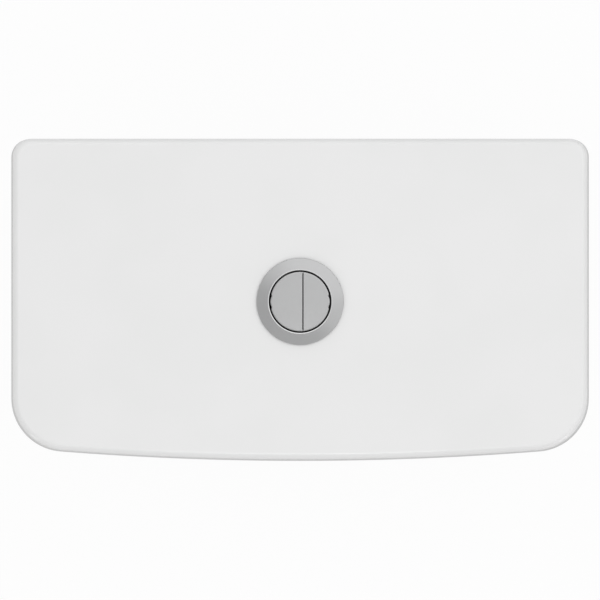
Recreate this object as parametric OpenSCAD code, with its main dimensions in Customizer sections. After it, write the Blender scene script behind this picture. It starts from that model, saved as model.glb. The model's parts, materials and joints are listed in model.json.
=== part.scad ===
// Toilet cistern: a glazed china tank with a lift-off lid, a two-part push button, a dual flush valve
// and a bottom-entry fill valve. Sizes are in millimetres.
// X runs to the right, Y to the wall behind and Z up. The origin lies on the flush outlet's axis,
// in the plane of the tank's underside.

/* [Lid] */
// Width over the side faces
lid_width = 370; // [352:1:392]
// Depth from the back face to the middle of the bowed front
lid_depth = 206.2; // [200:0.2:214]
// Height from the rim to the top face
lid_height = 40; // [36:1:46]
// Thickness of the top slab
lid_slab = 11; // [9:0.5:12]
// Thickness of the skirt
lid_wall = 11; // [9:0.5:12]
// Radius of the back corners in plan
back_corner_r = 11.5; // [9:0.5:15]
// Radius of the front corners in plan
front_corner_r = 33; // [27:1:40]
// Radius of the bowed front in plan
bow_r = 2100; // [1600:50:3000]
// Rounding of the top edge
lid_edge_r = 4; // [3:0.5:6]
// How far each side face leans in from rim to top
lid_lean = 1.5; // [0.5:0.5:3]
// Width of each locating lug under the lid
lug_width = 34; // [26:1:44]
// Distance between the left and right locating lugs
lug_pitch = 230; // [200:2:250]

/* [Tank] */
// Height of the rim above the underside
tank_height = 340; // [330:1:356]
// Thickness of the walls
tank_wall = 10; // [8:0.5:11]
// Thickness of the floor
tank_floor = 12; // [10:0.5:15]
// Distance from the flush outlet's axis to the wall behind
axis_to_wall = 104; // [100:1:108]
// How far the lid stands out past the sides and front of the rim
lid_overhang = 4; // [2:0.5:6]
// How far each side leans in from rim to base
side_lean = 14; // [8:1:18]
// How far the front leans in from rim to base
front_lean = 14; // [8:1:18]
// Rounding between the walls and the underside
base_r = 22; // [16:1:26]

/* [Push button] */
// Diameter of the bezel
bezel_d = 56.2; // [53:0.2:60]
// Diameter of the two button halves together
button_d = 38.4; // [37:0.2:40]
// Gap between the buttons and the bezel
button_gap = 0.9; // [0.6:0.1:1.2]
// Place of the split line, to the right of the middle
split_offset = 1.8; // [1:0.1:2.6]
// Width of the split line
split_width = 0.9; // [0.7:0.1:1.2]
// Travel of each button
button_travel = 8; // [5:0.5:9]
// Height of the bezel's inner edge above its foot
crown_height = 3.8; // [3:0.1:5]
// Height of the bezel's outer edge above its foot
bezel_edge = 1.2; // [0.8:0.1:2]
// Length of the threaded stem below the bezel
stem_length = 29; // [27:1:36]
// Wall of the threaded stem
stem_wall = 2.2; // [1.8:0.1:2.6]
// Diameter of the button rods
rod_d = 4.4; // [3.6:0.2:4.8]
// Place of the full flush rod, to the left of the middle
full_rod_offset = 9; // [8:0.5:9.5]
// Place of the half flush rod, to the right of the middle
half_rod_offset = 10.5; // [10:0.5:11]

/* [Flush valve] */
// Clear bore of the flush outlet
outlet_bore_d = 48; // [45:0.5:50]
// Outside diameter of the outlet's screw thread
outlet_thread_d = 58; // [57:0.5:60]
// Length of the outlet below the tank
outlet_length = 36; // [32:1:45]
// Height of the overflow tube's mouth above the tank's underside
overflow_height = 262; // [245:1:268]
// Outside diameter of the overflow tube
overflow_d = 36; // [33:0.5:38]
// Wall of the overflow tube
overflow_wall = 2.5; // [2:0.1:3]
// Outside diameter of the cage
cage_d = 84; // [82:1:88]
// Wall of the cage
cage_wall = 2.5; // [2:0.1:3]
// Height of the bucket at the top of the cage
bucket_height = 88; // [80:1:96]
// Distance from a rocker's pivot to its push rod
rocker_arm = 20; // [18:0.5:22]
// Distance from a rocker's pivot to its lifting nose
nose_arm = 26; // [24:0.5:28]

/* [Fill valve] */
// Place of the inlet, to the right of the outlet's axis
fill_x = 112; // [108:1:116]
// Place of the inlet, towards the wall from the outlet's axis
fill_y = 12; // [8:1:16]
// Outside diameter of the half inch inlet thread
inlet_thread_d = 20.96; // [20.8:0.02:21.1]
// Clear bore of the inlet tail
inlet_bore_d = 12; // [10:0.5:13]
// Length of the inlet tail below the tank
inlet_tail = 45; // [40:1:55]
// Height of the fill head's underside above the tank's underside
fill_height = 240; // [230:1:248]
// Diameter of the float cup
float_d = 68; // [62:1:70]
// Height of the float cup
float_height = 48; // [42:1:52]
// Rise of the float from an empty to a full tank
float_travel = 12; // [8:0.5:14]

/* [Fixings] */
// Diameter of the coupling bolts
bolt_d = 8; // [7.6:0.1:8.4]
// Distance between the coupling bolts
bolt_pitch = 150; // [146:1:156]
// Reach of the coupling bolts below the tank
bolt_reach = 60; // [50:1:75]
// Distance between the wall screw holes
screw_pitch = 200; // [180:1:210]
// Height of the wall screw holes above the underside
screw_height = 290; // [280:1:300]
// Diameter of the wall screw holes
screw_hole_d = 7; // [6:0.5:8]

/* [Hidden] */
$fn = 72;
// Cuts run past the faces that they open by this much
cut = 1;
// Joined solids run into each other by this much
lap = 1;
// Clearance between the lid's rim and the tank's rim
lid_seat = 0.3;
// Radial clearance of threads and pressed sleeves
thread_fit = 0.1;
// Depth of a nut's bore, and of the shank that it holds, below the crest of the free thread
thread_depth = 0.5;
// Radial clearance of a pin in what turns on it
pin_fit = 0.05;
// Clearance between pieces that slide or lift past each other
slide_gap = 0.4;
// Clearance between pieces that push each other
push_gap = 0.3;

// Colours of the materials
china = [0.93, 0.93, 0.91];
chrome = [0.75, 0.76, 0.77];
white_plastic = [0.9, 0.9, 0.88];
grey_plastic = [0.55, 0.57, 0.6];
blue_plastic = [0.3, 0.5, 0.75];
green_plastic = [0.35, 0.6, 0.45];
red_rubber = [0.7, 0.25, 0.2];
black_rubber = [0.12, 0.12, 0.12];
steel = [0.7, 0.7, 0.72];

// Steps of the plan outline's back corners, front corners and bow, and of the edge roundings
back_steps = 6;
front_steps = 10;
bow_steps = 16;
edge_steps = 5;
// Least corner radius inside the walls
inner_corner_r = 4;

// Lid
lid_front = axis_to_wall - lid_depth;
lid_z = tank_height + lid_seat;
lid_top = lid_z + lid_height;
lid_ceiling = lid_top - lid_slab;
// Rounding of the lid's rim, and of its ceiling inside
rim_r = 2;
ceiling_r = 6;
// Reach of the locating lugs into the tank, their thickness and their clearance to the tank
lug_reach = 9;
lug_depth = 7;
lug_gap = 2;

// Tank
floor_r = 14;

// Push button
gasket_t = 0.8;
bezel_z = lid_top + gasket_t;
button_r = button_d / 2;
bezel_bore_r = button_r + button_gap;
stem_r = bezel_bore_r + stem_wall;
// Clearance of the stem in the lid's hole
stem_gap = 0.7;
lid_hole_r = stem_r + stem_gap;
stem_floor_t = 3;
stem_floor_z = bezel_z - stem_length;
stem_floor_top = stem_floor_z + stem_floor_t;
// Chamfer on the bezel's inner edge and on the buttons' edges
bezel_lip = 0.5;
button_chamfer = 0.5;
// Depth of the buttons' faces below the bezel's inner edge
button_sink = 0.2;
button_top = bezel_z + crown_height - button_sink;
button_plate = 2.6;
button_under = button_top - button_plate;
button_wall = 1.5;
button_skirt = 11;
boss_r = 4;
// Guide lugs at the far left and right of the buttons: height, and depth of the notch round each
guide_lug = 8.3;
guide_notch = 0.65;
nut_height = 8;
nut_grip = 8;
nut_grips = 8;
rod_r = rod_d / 2;
// Depth of a rod in its button
rod_grip = 10;
collar_t = 1.6;
collar_r = 4;
coil_r = 5.6;
wire_r = 0.6;
coil_turns = 6;

// Flush valve: base, with its seat, nut and seals
outlet_r = outlet_thread_d / 2;
outlet_bore_r = outlet_bore_d / 2;
outlet_hole_gap = 2;
outlet_hole_r = outlet_r + outlet_hole_gap;
base_washer_t = 3.5;
base_flange_t = 4;
base_flange_rim = 2;
base_flange_r = cage_d / 2 + base_flange_rim;
washer_inset = 1;
washer_gap = 0.2;
flange_z = tank_floor + base_washer_t;
flange_top = flange_z + base_flange_t;
seat_height = 7.5;
seat_z = flange_top + seat_height;
seat_lip_inset = 0.5;
seat_lip_r = outlet_r - seat_lip_inset;
seat_lip_h = 1;
seat_collar_wall = 1.5;
seat_collar_r = outlet_r + seat_collar_wall;
back_nut_height = 13;
back_nut_wall = 6;
back_nut_lug = 3;
back_nut_lugs = 8;
back_nut_lug_w = 6;
back_nut_r = outlet_r + back_nut_wall + back_nut_lug;
doughnut_height = 30;
doughnut_wall = 14;
doughnut_taper = 6;
doughnut_gap = 0.6;
doughnut_r = back_nut_r + doughnut_wall;

// Flush valve: cage, with the bayonet hooks on the base and the tabs on the cage
cage_r = cage_d / 2;
cage_bore_r = cage_r - cage_wall;
cage_ring_t = 4;
cage_ring_h = 8;
hook_gap = 1.7;
hook_r = seat_collar_r + hook_gap;
hook_t = 2;
hook_roof_r = cage_r - cage_ring_t - slide_gap;
hook_roof_t = 2;
hook_span = 26;
tab_rise = 2;
tab_z = flange_top + tab_rise;
tab_t = 3.2;
tab_span = 20;
window_height = 36;
bucket_z = flange_top + cage_ring_h + window_height;
bucket_top = bucket_z + bucket_height;
leg_span = 22;
leg_inset = 0.4;
spider_t = 4;
spider_wall = 2.4;
spoke_w = 4;
post_w = 12;
post_t = 5;
post_inset = 3.4;
post_x = cage_r - post_inset;
post_root = 20;
tooth_pitch = 8;
tooth_t = 1.2;
tooth_h = 3;
tooth_w = 8;

// Flush valve: tube, seal and floats
tube_r = overflow_d / 2;
tube_bore_r = tube_r - overflow_wall;
sleeve_r = tube_r + thread_fit;
guide_gap = 0.6;
guide_r = tube_r + guide_gap;
seal_t = 2.2;
seal_z = seat_z + push_gap;
seal_overlap = 2.5;
seal_r = seat_lip_r + seal_overlap;
carrier_hub_wall = 3.4;
carrier_hub_r = tube_r + carrier_hub_wall;
carrier_hub_h = 12;
carrier_t = 4;
carrier_inset = 0.8;
carrier_r = seal_r - carrier_inset;
tube_lip = 1;
tube_lip_h = 4;
float_wall = 1.6;
full_float_gap = 3.5;
full_float_r = cage_bore_r - full_float_gap;
full_float_h = 44;
full_float_rise = 18;
full_float_z = bucket_z + spider_t + full_float_rise;
half_float_gap = 5;
half_float_r = post_x - half_float_gap;
half_float_h = 34;
half_float_rise = 18;
half_float_z = bucket_top + half_float_rise;
clip_h = 6;
clip_wall = 4;
clip_slot = 3;
clip_ear = 6;

// Rockers: they swing the same angle up and down, so that rod, rocker and tube move in step
rocker_swing = atan(button_travel / 2 / rocker_arm);
flush_lift = 2 * nose_arm * sin(rocker_swing);
rocker_w = 6;
rocker_half = 1.8;
rocker_hub_r = 4.5;
nose_r = 2.5;
pad_h = 3;
pad_half = 3.5;
pad_clear = 2;
pin_r = 1.75;
ear_t = 3;
ear_half = 5;
ear_over = 4;
head_t = 4;
head_clear = 3;
head_z = overflow_height + flush_lift + head_clear;
head_top = head_z + head_t;
head_rim = 5;
head_r = rocker_arm + ear_half + head_rim;
socket_depth = 12;
socket_wall = 3;
pivot_z = head_top + (rocker_arm + pad_half) * sin(rocker_swing) + rocker_half + pad_clear;
// The rod's round tip clears the tilted pad by the pushing gap
rod_tip = pivot_z - rod_r
    + (pad_h + rod_r + push_gap + rocker_arm * sin(rocker_swing)) / cos(rocker_swing);

// Yoke: its windowed uprights stand round the rockers' noses. The half flush window is tall enough
// for its own rocker's swing and for the yoke's lift by the other one
upright_t = 3;
upright_w = 14;
upright_y = rocker_arm + nose_arm * cos(rocker_swing);
yoke_drop = 30;
yoke_z = overflow_height - yoke_drop;
yoke_h = 10;
yoke_wall = 4.4;
yoke_arm_h = 8;
yoke_bridge = 4;
window_side = 1;
window_clear = 1;
nose_low = pivot_z - nose_arm * sin(rocker_swing);
nose_high = pivot_z + nose_arm * sin(rocker_swing);
full_window_top = nose_low + nose_r + push_gap;
full_window_floor = nose_low - nose_r - 2 * window_clear;
half_window_top = nose_high + nose_r + window_clear;
half_window_floor = nose_low - nose_r - flush_lift - window_clear;
yoke_top = half_window_top + yoke_bridge;

// Fill valve: shank, riser and their nuts
inlet_r = inlet_thread_d / 2;
inlet_shank_r = inlet_r - thread_depth;
inlet_bore_r = inlet_bore_d / 2;
inlet_hole_gap = 1.6;
inlet_hole_r = inlet_r + inlet_hole_gap;
inlet_washer_t = 2.5;
inlet_flange_z = tank_floor + inlet_washer_t;
inlet_flange_r = 19;
inlet_flange_t = 3.5;
inlet_nut_flats = 30;
inlet_nut_h = 11;
inlet_nut_flange = 4;
inlet_nut_flange_t = 2;
riser_r = 10;
riser_wall = 3;
riser_fit = 0.3;
riser_hold = 50;
shank_wall = 2.7;
shank_r = riser_r + riser_fit + shank_wall;
shank_top = fill_height / 2;
shank_slot = 2;
shank_slot_h = 22;
shank_step = 12;
shank_floor_z = inlet_flange_z + inlet_flange_t + shank_step;
riser_z = shank_top - riser_hold;
lock_h = 16;
lock_lip = 4;
lock_wall = 4.4;
lock_ribs = 12;
filter_h = 22;
filter_wall = 1.2;
filter_slot = 1.6;
filter_rim = 5;

// Fill valve: head, cap and discharge. The spout clears the riser below it and the cap above it
head_body_r = 17;
riser_seat = 6;
spout_r = 6;
spout_bore_r = 4;
spout_z = fill_height + riser_seat + lap + spout_bore_r;
cap_wall = 2.2;
cap_skirt = 5;
head_body_h = spout_z + spout_r + push_gap + cap_skirt - fill_height;
cap_h = 12;
cap_z = fill_height + head_body_h - cap_skirt;
cap_top = cap_z + cap_h;
diaphragm_t = 2.5;
diaphragm_z = fill_height + head_body_h;
diaphragm_gap = 0.2;
chamber_r = 12;
chamber_h = 2.5;
pilot_r = 3.5;
pilot_h = 2.5;
pilot_hole_r = 0.8;
elbow_r = 9;
elbow_h = 17;
elbow_roof = 2;
discharge_r = 6.5;
discharge_wall = 1.5;
discharge_gap = 2.5;
discharge_foot = 55;
discharge_z = tank_floor + discharge_foot;
discharge_seat = 9;
spout_reach = float_d / 2 + discharge_gap + discharge_r;

// Float and its lever. The lever's pad stops just clear of the pilot when the float is up
float_r = float_d / 2;
float_room = 12;
float_z = fill_height - float_height - float_travel - float_room;
float_bore_gap = 0.5;
float_bore_r = riser_r + float_bore_gap;
link_inset = 2;
link_offset = float_r - link_inset;
lever_pivot_offset = 9;
lever_arm = link_offset - lever_pivot_offset;
lever_swing = atan(float_travel / 2 / lever_arm);
lever_half = 2;
lever_w = 8;
lever_hub_r = 4;
lever_pin_r = 1.5;
lever_ear_t = 2.6;
lever_ear_half = 4;
lever_pivot_z = cap_top + pilot_h + push_gap
    + lever_half / cos(lever_swing) + (lever_pivot_offset + pilot_r) * tan(lever_swing);
link_r = 2;
link_collar_r = 4;
link_collar_t = 2;
link_boss_r = 5;
link_boss_h = 6;
lever_end_z = lever_pivot_z - lever_arm * tan(lever_swing);
// Half height of the lever where the link's collars meet it, at its steepest
lever_reach = lever_half / cos(lever_swing) + link_collar_r * tan(lever_swing) + push_gap;

// Fixings
bolt_r = bolt_d / 2;
bolt_shank_r = bolt_r - thread_depth;
bolt_hole_gap = 1.5;
bolt_hole_r = bolt_r + bolt_hole_gap;
rubber_washer_r = 13;
rubber_washer_t = 4;
steel_washer_r = 11;
steel_washer_t = 1.6;
bolt_head_flats = 13;
bolt_head_h = 5.3;
bolt_nut_h = 6.5;

// Points along an arc
function arc_points(centre, radius, from, to, steps) =
    [for (i = [0 : steps])
        let (turn = from + (to - from) * i / steps)
        centre + radius * [cos(turn), sin(turn)]];

// Plan outline with a straight back, straight sides, a bowed front and four round corners
function plan_outline(side, back, front, corner_b, corner_f, bow) =
    let (reach = side - corner_f,
        lean = asin(reach / (bow - corner_f)),
        corner_y = front + bow - (bow - corner_f) * cos(lean))
    concat(
        arc_points([side - corner_b, back - corner_b], corner_b, 0, 90, back_steps),
        arc_points([corner_b - side, back - corner_b], corner_b, 90, 180, back_steps),
        arc_points([-reach, corner_y], corner_f, 180, 270 - lean, front_steps),
        [for (i = [1 : bow_steps - 1])
            let (turn = 270 - lean + 2 * lean * i / bow_steps)
            [0, front + bow] + bow * [cos(turn), sin(turn)]],
        arc_points([reach, corner_y], corner_f, 270 + lean, 360, front_steps));

// One level of a loft: the lid's outline drawn in all round, and leaning in at the sides and front
function plan_ring(inset, side_in, front_in, level) =
    [for (p = plan_outline(
            lid_width / 2 - side_in - inset, axis_to_wall - inset, lid_front + front_in + inset,
            max(back_corner_r - inset, inner_corner_r),
            max(front_corner_r - inset, inner_corner_r), bow_r - front_in - inset))
        [p[0], p[1], level]];

function lid_ring(inset, level) =
    plan_ring(inset, lid_lean * max(level - lid_z - rim_r, 0) / (lid_height - rim_r), 0, level);

function tank_ring(inset, level) =
    let (fall = 1 - level / tank_height)
    plan_ring(inset, lid_overhang + side_lean * fall, lid_overhang + front_lean * fall, level);

// Depth of the front of an outline at a place beside its middle
function bow_sag(x) = bow_r - sqrt(pow(bow_r, 2) - pow(x, 2));

// Solid through a stack of rings
module loft(rings) {
    count = len(rings[0]);
    last = len(rings) - 1;
    polyhedron(
        points = [for (ring = rings) each ring],
        faces = concat(
            [[for (i = [0 : count - 1]) i]],
            [[for (i = [count - 1 : -1 : 0]) last * count + i]],
            [for (k = [0 : last - 1], i = [0 : count - 1])
                let (j = (i + 1) % count)
                each [
                    [k * count + i, (k + 1) * count + i, (k + 1) * count + j],
                    [k * count + i, (k + 1) * count + j, k * count + j]]]));
}

module ring(outer, inner, height) {
    difference() {
        cylinder(r = outer, h = height);
        translate([0, 0, -cut]) cylinder(r = inner, h = height + 2 * cut);
    }
}

module sector(outer, inner, height, middle, span) {
    rotate([0, 0, middle - span / 2]) rotate_extrude(angle = span)
        translate([inner, 0]) square([outer - inner, height]);
}

module hex_prism(flats, height) {
    cylinder(r = flats / 2 / cos(30), h = height, $fn = 6);
}

// Cylinder along X through its middle
module cross_pin(radius, length) {
    rotate([0, 90, 0]) translate([0, 0, -length / 2]) cylinder(r = radius, h = length);
}

module both_bolts() {
    for (side = [-1, 1]) translate([side * bolt_pitch / 2, 0, 0]) children();
}

module at_fill() {
    translate([fill_x, fill_y, 0]) children();
}

module lid() {
    shell = concat(
        [for (i = [0 : edge_steps])
            let (turn = 90 * i / edge_steps)
            lid_ring(rim_r * (1 - sin(turn)), lid_z + rim_r * (1 - cos(turn)))],
        [for (i = [0 : edge_steps])
            let (turn = 90 * i / edge_steps)
            lid_ring(lid_edge_r * (1 - cos(turn)), lid_top - lid_edge_r * (1 - sin(turn)))]);
    hollow = concat(
        [lid_ring(lid_wall, lid_z - cut), lid_ring(lid_wall, lid_z)],
        [for (i = [0 : edge_steps])
            let (turn = 90 * i / edge_steps)
            lid_ring(lid_wall + ceiling_r * (1 - cos(turn)), lid_ceiling - ceiling_r * (1 - sin(turn)))]);
    color(china) difference() {
        union() {
            difference() {
                loft(shell);
                loft(hollow);
            }
            for (side = [-1, 1]) translate([side * lug_pitch / 2, 0, 0]) lid_lugs();
        }
        translate([0, 0, lid_ceiling - cut]) cylinder(r = lid_hole_r, h = lid_slab + 2 * cut);
    }
}

// One lug at the back and one at the front, each with a tongue inside the tank's mouth
module lid_lugs() {
    back = axis_to_wall - max(tank_wall, lid_wall) - lug_gap;
    front = lid_front + bow_sag(lug_pitch / 2 + lug_width / 2) + lid_overhang + tank_wall + lug_gap;
    rise = lid_ceiling + lap - lid_z;
    translate([-lug_width / 2, back - lug_depth, lid_z - lug_reach])
        cube([lug_width, lug_depth, rise + lug_reach]);
    translate([-lug_width / 2, back - lug_depth, lid_z + rim_r])
        cube([lug_width, lug_depth + lug_gap + lap, rise - rim_r]);
    translate([-lug_width / 2, front, lid_z - lug_reach])
        cube([lug_width, lug_depth, rise + lug_reach]);
    translate([-lug_width / 2, front - lug_gap - lid_overhang - lap, lid_z + rim_r])
        cube([lug_width, lug_depth + lug_gap + lid_overhang + lap, rise - rim_r]);
}

module tank() {
    shell = concat(
        [for (i = [0 : edge_steps])
            let (turn = 90 * i / edge_steps)
            tank_ring(base_r * (1 - sin(turn)), base_r * (1 - cos(turn)))],
        [for (i = [0 : edge_steps])
            let (turn = 90 * i / edge_steps)
            tank_ring(rim_r * (1 - cos(turn)), tank_height - rim_r * (1 - sin(turn)))]);
    mouth = tank_ring(tank_wall - rim_r, tank_height);
    hollow = concat(
        [for (i = [0 : edge_steps])
            let (turn = 90 * i / edge_steps)
            tank_ring(tank_wall + floor_r * (1 - sin(turn)), tank_floor + floor_r * (1 - cos(turn)))],
        [tank_ring(tank_wall, tank_height - rim_r), mouth, [for (p = mouth) p + [0, 0, cut]]]);
    color(china) difference() {
        loft(shell);
        loft(hollow);
        translate([0, 0, -cut]) cylinder(r = outlet_hole_r, h = tank_floor + 2 * cut);
        both_bolts() translate([0, 0, -cut]) cylinder(r = bolt_hole_r, h = tank_floor + 2 * cut);
        at_fill() translate([0, 0, -cut]) cylinder(r = inlet_hole_r, h = tank_floor + 2 * cut);
        for (side = [-1, 1])
            translate([side * screw_pitch / 2, axis_to_wall + cut, screw_height]) rotate([90, 0, 0])
                cylinder(r = screw_hole_d / 2, h = tank_wall + 2 * cut);
    }
}

module button_bezel() {
    crown = bezel_z + crown_height;
    color(chrome) difference() {
        rotate_extrude() polygon([
            [0, stem_floor_z], [stem_r, stem_floor_z], [stem_r, bezel_z], [bezel_d / 2, bezel_z],
            [bezel_d / 2, bezel_z + bezel_edge], [bezel_bore_r + bezel_lip, crown],
            [bezel_bore_r, crown - bezel_lip], [bezel_bore_r, stem_floor_top], [0, stem_floor_top]]);
        for (x = [-full_rod_offset, half_rod_offset])
            translate([x, 0, stem_floor_z - cut])
                cylinder(r = rod_r + slide_gap, h = stem_floor_t + 2 * cut);
    }
}

module button_gasket() {
    color(black_rubber) translate([0, 0, lid_top])
        ring(bezel_d / 2 - washer_inset, stem_r + thread_fit, gasket_t);
}

module button_nut() {
    color(white_plastic) translate([0, 0, lid_ceiling - nut_height]) difference() {
        cylinder(r = stem_r + nut_grip, h = nut_height);
        translate([0, 0, -cut]) cylinder(r = stem_r + thread_fit, h = nut_height + 2 * cut);
        for (i = [1 : nut_grips]) rotate([0, 0, 360 * i / nut_grips])
            translate([stem_r + nut_grip, 0, -cut]) cylinder(r = nut_grip / 2, h = nut_height + 2 * cut);
    }
}

// Outline of both buttons: a circle with a notched guide lug at the far left and right
module button_outline() {
    sag = button_r - sqrt(pow(button_r, 2) - pow(guide_lug / 2, 2)) + guide_notch;
    lug_r = (pow(guide_lug / 2, 2) + pow(sag, 2)) / 2 / sag;
    difference() {
        circle(r = button_r);
        for (side = [-1, 1]) translate([side * button_r, 0]) square([4 * sag, guide_lug], center = true);
    }
    for (side = [-1, 1]) intersection() {
        translate([side * (button_r - lug_r), 0]) circle(r = lug_r);
        translate([side * (button_r - sag), 0]) square([4 * sag, guide_lug], center = true);
    }
}

// What lies left (-1) or right (1) of the split line, drawn in by some depth
module split_side(side, inset) {
    edge = split_offset + side * (split_width / 2 + inset);
    translate([edge + side * button_d / 2, 0]) square([button_d, 2 * button_d], center = true);
}

module button_half(side, rod_x) {
    low = button_under - button_skirt;
    difference() {
        intersection() {
            translate([0, 0, low]) linear_extrude(button_skirt + button_plate) intersection() {
                button_outline();
                split_side(side, 0);
            }
            rotate_extrude() polygon([
                [0, low - cut], [button_r + 2 * cut, low - cut],
                [button_r + 2 * cut, button_top - button_chamfer - 2 * cut],
                [button_r - button_chamfer, button_top], [0, button_top]]);
        }
        translate([0, 0, low - cut]) linear_extrude(button_skirt + cut) difference() {
            intersection() {
                circle(r = button_r - button_wall - guide_notch);
                split_side(side, button_wall);
            }
            translate([rod_x, 0]) circle(r = boss_r);
        }
        translate([rod_x, 0, low - cut]) cylinder(r = rod_r + thread_fit, h = rod_grip + cut);
    }
}

module full_flush_button() {
    color(chrome) button_half(-1, -full_rod_offset);
}

module half_flush_button() {
    color(chrome) button_half(1, half_rod_offset);
}

module push_rod(x) {
    top = button_under - button_skirt + rod_grip;
    translate([x, 0, 0]) {
        translate([0, 0, rod_tip + rod_r]) cylinder(r = rod_r, h = top - rod_tip - rod_r);
        translate([0, 0, rod_tip + rod_r]) sphere(r = rod_r);
        translate([0, 0, stem_floor_z - push_gap - collar_t]) cylinder(r = collar_r, h = collar_t);
    }
}

module full_flush_rod() {
    color(white_plastic) push_rod(-full_rod_offset);
}

module half_flush_rod() {
    color(white_plastic) push_rod(half_rod_offset);
}

// Return spring wound as one tube from the bezel's floor to the button's underside
module return_spring(x) {
    sides = 6;
    steps = 8 * coil_turns;
    low = stem_floor_top + wire_r + pin_fit;
    rise = button_under - wire_r - pin_fit - low;
    points = [for (k = [0 : steps], i = [0 : sides - 1])
        let (turn = 360 * coil_turns * k / steps,
            roll = 360 * i / sides,
            reach = coil_r + wire_r * cos(roll))
        [x + reach * cos(turn), reach * sin(turn), low + rise * k / steps + wire_r * sin(roll)]];
    polyhedron(
        points = points,
        faces = concat(
            [for (i = [1 : sides - 2]) [0, i + 1, i]],
            [for (i = [1 : sides - 2]) [steps * sides, steps * sides + i, steps * sides + i + 1]],
            [for (k = [0 : steps - 1], i = [0 : sides - 1])
                let (j = (i + 1) % sides)
                each [
                    [k * sides + i, k * sides + j, (k + 1) * sides + j],
                    [k * sides + i, (k + 1) * sides + j, (k + 1) * sides + i]]]));
}

module full_flush_spring() {
    color(steel) return_spring(-full_rod_offset);
}

module half_flush_spring() {
    color(steel) return_spring(half_rod_offset);
}

module coupling_bolts() {
    head_z = tank_floor + rubber_washer_t + steel_washer_t;
    nut_z = -steel_washer_t - bolt_nut_h;
    color(steel) both_bolts() {
        translate([0, 0, head_z]) hex_prism(bolt_head_flats, bolt_head_h);
        translate([0, 0, nut_z - lap]) cylinder(r = bolt_shank_r, h = head_z - nut_z + 2 * lap);
        translate([0, 0, -bolt_reach]) cylinder(r = bolt_r, h = bolt_reach + nut_z);
    }
}

module bolt_head_washers() {
    color(steel) both_bolts() translate([0, 0, tank_floor + rubber_washer_t])
        ring(steel_washer_r, bolt_r + washer_gap, steel_washer_t);
}

module bolt_rubber_washers() {
    color(black_rubber) both_bolts() translate([0, 0, tank_floor])
        ring(rubber_washer_r, bolt_r + washer_gap, rubber_washer_t);
}

module bolt_under_washers() {
    color(steel) both_bolts() translate([0, 0, -steel_washer_t])
        ring(steel_washer_r, bolt_r + washer_gap, steel_washer_t);
}

module bolt_nuts() {
    color(steel) both_bolts() translate([0, 0, -steel_washer_t - bolt_nut_h]) difference() {
        hex_prism(bolt_head_flats, bolt_nut_h);
        translate([0, 0, -cut]) cylinder(r = bolt_shank_r + thread_fit, h = bolt_nut_h + 2 * cut);
    }
}

module flush_base() {
    color(white_plastic) difference() {
        union() {
            translate([0, 0, -outlet_length]) cylinder(r = outlet_r, h = outlet_length + flange_top);
            translate([0, 0, flange_z]) cylinder(r = base_flange_r, h = base_flange_t);
            translate([0, 0, flange_top - lap])
                cylinder(r = seat_collar_r, h = seat_height - seat_lip_h + lap);
            translate([0, 0, seat_z - seat_lip_h - lap]) cylinder(r = seat_lip_r, h = seat_lip_h + lap);
            for (turn = [0, 120, 240]) {
                translate([0, 0, flange_top - lap])
                    sector(
                        hook_r + hook_t, hook_r, tab_rise + tab_t + slide_gap + 2 * lap, turn, hook_span);
                translate([0, 0, tab_z + tab_t + slide_gap])
                    sector(hook_roof_r, hook_r, hook_roof_t, turn, hook_span);
            }
        }
        translate([0, 0, -outlet_length - cut])
            cylinder(r = outlet_bore_r, h = outlet_length + seat_z + 2 * cut);
    }
}

module flush_base_washer() {
    color(black_rubber) translate([0, 0, tank_floor])
        ring(base_flange_r - washer_inset, outlet_r + washer_gap, base_washer_t);
}

module flush_back_nut() {
    color(white_plastic) translate([0, 0, -back_nut_height]) difference() {
        union() {
            cylinder(r = outlet_r + back_nut_wall, h = back_nut_height);
            for (i = [1 : back_nut_lugs]) rotate([0, 0, 360 * i / back_nut_lugs])
                translate([outlet_r + lap, -back_nut_lug_w / 2, 0])
                    cube([back_nut_wall + back_nut_lug - lap, back_nut_lug_w, back_nut_height]);
        }
        translate([0, 0, -cut]) cylinder(r = outlet_r + thread_fit, h = back_nut_height + 2 * cut);
    }
}

module coupling_doughnut() {
    step_z = -back_nut_height - doughnut_gap;
    inner_r = outlet_r + doughnut_gap;
    recess_r = back_nut_r + doughnut_gap;
    color(black_rubber) rotate_extrude() polygon([
        [inner_r, -doughnut_height], [doughnut_r - doughnut_taper, -doughnut_height], [doughnut_r, step_z],
        [doughnut_r, 0], [recess_r, 0], [recess_r, step_z], [inner_r, step_z]]);
}

module valve_cage() {
    tooth_count = floor((head_z - socket_depth - bucket_top) / tooth_pitch);
    color(white_plastic) {
        translate([0, 0, flange_top]) ring(cage_r, cage_r - cage_ring_t, cage_ring_h);
        for (turn = [0, 120, 240]) translate([0, 0, tab_z])
            sector(cage_r - cage_ring_t + lap, hook_r + hook_t + slide_gap, tab_t, turn, tab_span);
        for (turn = [45 : 90 : 315]) translate([0, 0, flange_top + cage_ring_h - lap])
            sector(cage_r - leg_inset, cage_bore_r + leg_inset, window_height + 2 * lap, turn, leg_span);
        translate([0, 0, bucket_z]) ring(cage_r, cage_bore_r, bucket_height);
        translate([0, 0, bucket_z]) ring(guide_r + spider_wall, guide_r, spider_t);
        for (turn = [45 : 90 : 315]) rotate([0, 0, turn])
            translate([guide_r + lap, -spoke_w / 2, bucket_z])
                cube([cage_bore_r - guide_r, spoke_w, spider_t]);
        for (turn = [0, 180]) rotate([0, 0, turn]) {
            translate([post_x, -post_w / 2, bucket_top - post_root])
                cube([post_t, post_w, head_z - bucket_top + post_root]);
            for (i = [1 : tooth_count])
                translate([post_x + post_t - lap, -tooth_w / 2, bucket_top + tooth_pitch * (i - 0.5)])
                    cube([tooth_t + lap, tooth_w, tooth_h]);
        }
    }
}

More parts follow.
